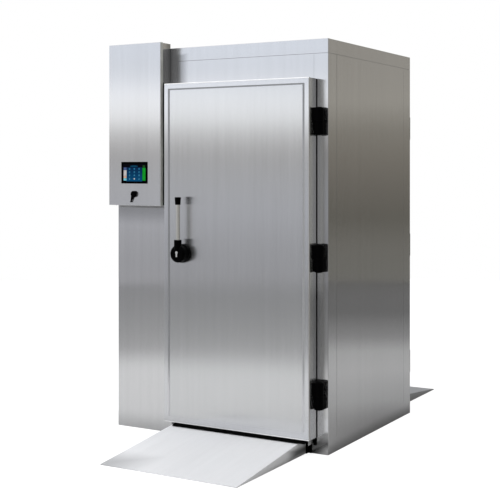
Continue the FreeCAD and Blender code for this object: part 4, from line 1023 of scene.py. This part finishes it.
# %% Sealant in the upright joints of the sides
BEAD_WIDTH = 1.6 * MM
BEAD_SINK = 0.25 * MM
BEAD_DEPTH = 1.0 * MM

beads = bmesh.new()
wall_low, wall_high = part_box("right_wall_panel")
for outer in (wall_high.x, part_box("left_wall_panel")[0].x):
    outward = 1 if outer > 0 else -1
    inner_x, outer_x = outer - outward * BEAD_DEPTH, outer - outward * BEAD_SINK
    for joint in (wall_low.y, wall_high.y):
        add_block(beads, (min(inner_x, outer_x), joint - BEAD_WIDTH / 2, wall_low.z),
                  (max(inner_x, outer_x), joint + BEAD_WIDTH / 2, wall_high.z))
finish_piece("side_joint_beads", beads, "black_rubber", "cabinet")

# %% Sealant and painted shadow under the control box
JOINT_HEIGHT = 20.0 * MM
JOINT_DEPTH = 9.0 * MM
JOINT_LIP = 0.4 * MM

body_low, body_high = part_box("control_box_body")
bead = bmesh.new()
section = ((face, body_low.z), (face - JOINT_DEPTH, body_low.z),
           (face - JOINT_LIP, body_low.z - JOINT_HEIGHT), (face, body_low.z - JOINT_HEIGHT))
add_extruded(bead, [(body_low.x, y, z) for y, z in section], (body_high.x - body_low.x, 0, 0))
finish_piece("box_joint_shadow_bead", bead, "sealant", "cabinet", slot="black_rubber")

# %% [markdown]
# ## Edges of the control box and of the header
# A grey profile covers the cut edge of the lid's right return, and a black foam gasket fills
# the slot behind it; its black is also a painted shade in that slot. A thin strip covers the
# joint between the header and the corner panel.

# %% Edge guard and gasket of the control box
GUARD_SHEET = 0.6 * MM
GUARD_START = 2 * MM
GASKET_WIDTH = 2.0 * MM
GASKET_DEPTH = 30 * MM
GASKET_START = 0.2 * MM
GASKET_RISE = 4 * MM
GASKET_PAST_DOOR = 10 * MM

guard = bmesh.new()
add_block(guard, (lid_high.x, lid_low.y + GUARD_START, lid_low.z),
          (lid_high.x + GUARD_SHEET, lid_high.y, lid_high.z))
finish_piece("lid_edge_guard", guard, "edge_guard", "cabinet", slot="lid_steel")
# The gasket is black foam, and its black also paints the shade in the slot.
gasket = bmesh.new()
add_block(gasket, (lid_high.x - GASKET_WIDTH, lid_high.y + GASKET_START, lid_low.z + GASKET_RISE),
          (lid_high.x, lid_high.y + GASKET_DEPTH, leaf_high.z + GASKET_PAST_DOOR))
finish_piece("lid_gasket_and_shade", gasket, "black_rubber", "cabinet")

# %% Cover strips of the header joints
COVER_WIDTH = 8 * MM
COVER_SHEET = 0.3 * MM

header_low, header_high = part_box("header_panels")
covers = bmesh.new()
for outward in (-1, 1):
    header_face = outward * header_high.y
    add_block(covers, (header_high.x - COVER_WIDTH / 2, header_face, header_low.z),
              (header_high.x + COVER_WIDTH / 2, header_face + outward * COVER_SHEET,
               header_high.z))
finish_piece("header_joint_covers", covers, "leaf_steel", "cabinet", slot="cabinet_steel")

# %% [markdown]
# ## Inside the room
# The fans stand behind a screwed panel and wire guards. The guards in the frame carry the
# load; the fine rings between them, which keep fingers out, are spun from a six-sided wire.
# Moulded plugs close the open ends of the trolley rails, which stand in pairs on two walls.

# %% Fine rings of the fan guards
WIRE = 1.2 * MM
RING_PITCH = 11 * MM
RINGS_START = 60 * MM
RINGS_COUNT = 15
WIRE_SECTION = [(WIRE * cos(radians(60 * step)), WIRE * sin(radians(60 * step)))
                for step in range(7)]

guard_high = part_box("fan_guards")[1]
fan_levels = [sum(corner.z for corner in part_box(f"fan_impeller_{index}")) / 2
              for index in (1, 2, 3)]
for index, level in enumerate(fan_levels):
    wires = bmesh.new()
    for step in range(RINGS_COUNT):
        radius = RINGS_START + step * RING_PITCH
        add_turned(wires, [(radius + out, rise) for out, rise in WIRE_SECTION],
                   (guard_high.x + WIRE * 0.7, 0, level), RIGHTWARD, ROUND_STEPS)
    finish_piece(f"fan_guard_rings_{index + 1}", wires, "wire_steel", "cabinet", sharp=70.0)
print("guards at", [round(level, 3) for level in fan_levels])

# %% Screws of the fan panel and of the control box
PANEL_MARGIN = 12 * MM
PANEL_END = 60 * MM
PANEL_ROWS = 9
PANEL_SCREW = 5 * MM
LID_MARGIN = 12 * MM
LID_SCREW = 4 * MM
LID_SCREW_SHARES = (0.12, 0.5, 0.88)

panel_low, panel_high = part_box("fan_panel")
screws = bmesh.new()
screw_run = panel_high.z - panel_low.z - 2 * PANEL_END
for row in range(PANEL_ROWS):
    height = panel_low.z + PANEL_END + screw_run * row / (PANEL_ROWS - 1)
    for side in (panel_low.y + PANEL_MARGIN, panel_high.y - PANEL_MARGIN):
        add_screw(screws, (panel_high.x, side, height), RIGHTWARD, PANEL_SCREW)
finish_piece("fan_panel_screws", screws, "wire_steel", "cabinet")
lid_screws = bmesh.new()
for share in LID_SCREW_SHARES:
    across = lid_low.x + (lid_high.x - lid_low.x) * share
    add_screw(lid_screws, (across, lid_high.y - LID_MARGIN, lid_low.z), DOWN, LID_SCREW)
finish_piece("lid_screws", lid_screws, "wire_steel", "cabinet")

# %% Ends of the trolley rails
RAIL_HEIGHT = 50 * MM
RAIL_DEPTH = 34 * MM
RAIL_BEVEL = 10 * MM
PLUG_THICKNESS = 3 * MM
PLUG_LIP = 0.8 * MM

rail_low, rail_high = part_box("trolley_rails")
plugs = bmesh.new()
half = RAIL_HEIGHT / 2 + PLUG_LIP
for level in (rail_low.z + RAIL_HEIGHT / 2, rail_high.z - RAIL_HEIGHT / 2):
    for wall_x, inward in ((rail_low.x, 1), (rail_high.x, -1)):
        crest = wall_x + inward * (RAIL_DEPTH + PLUG_LIP)
        shoulder = crest - inward * RAIL_BEVEL
        section = ((wall_x, -half), (shoulder, -half), (crest, -half + RAIL_BEVEL),
                   (crest, half - RAIL_BEVEL), (shoulder, half), (wall_x, half))
        for side, outward in ((rail_low.y, -1), (rail_high.y, 1)):
            add_extruded(plugs, [(x, side, level + z) for x, z in section],
                         (0, outward * PLUG_THICKNESS, 0))
finish_piece("rail_plugs", plugs, "motor_black", "cabinet")

# %% Ribs of the lamp's diffuser
RIB_PITCH = 9 * MM
RIB_WIDTH = 2.4 * MM
RIB_DROP = 1.0 * MM
RIB_ROUND = 0.5 * MM
LAMP_END = 30 * MM
LAMP_SIDE = 16 * MM

lamp_low, lamp_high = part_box("interior_lamp")
ribs = bmesh.new()
rib_count = int((lamp_high.x - lamp_low.x - 2 * LAMP_END) / RIB_PITCH)
for step in range(rib_count + 1):
    start = lamp_low.x + LAMP_END + step * RIB_PITCH
    add_block(ribs, (start, lamp_low.y + LAMP_SIDE, lamp_low.z - RIB_DROP),
              (start + RIB_WIDTH, lamp_high.y - LAMP_SIDE, lamp_low.z), RIB_ROUND)
finish_piece("lamp_ribs", ribs, "lamp_plastic", "cabinet")

# %% [markdown]
# ## On the roof
# Each copper line leaves through a rubber grommet, which keeps the sheet's edge off it. Its
# bore is 0.3 mm wider all round than the line, so the two don't touch.

# %% Grommets of the copper lines
LINES_Y = -0.420
SUCTION_LINE = (-0.4425, 14.3 * MM)
LIQUID_LINE = (-0.5325, 8.3 * MM)
GROMMET_RIM = 7 * MM
GROMMET_LIP = 3 * MM
RIM_HEIGHT = 2 * MM
LIP_HEIGHT = 5 * MM

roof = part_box("ceiling_panel")[1].z
grommets = bmesh.new()
for line_x, bore in (SUCTION_LINE, LIQUID_LINE):
    rim = bore + GROMMET_RIM
    add_turned(grommets, [(bore, 0), (rim, 0), (rim, RIM_HEIGHT),
                          (bore + GROMMET_LIP, LIP_HEIGHT), (bore, LIP_HEIGHT), (bore, 0)],
               (line_x, LINES_Y, roof), UP, 32)
finish_piece("line_grommets", grommets, "black_rubber", "cabinet")
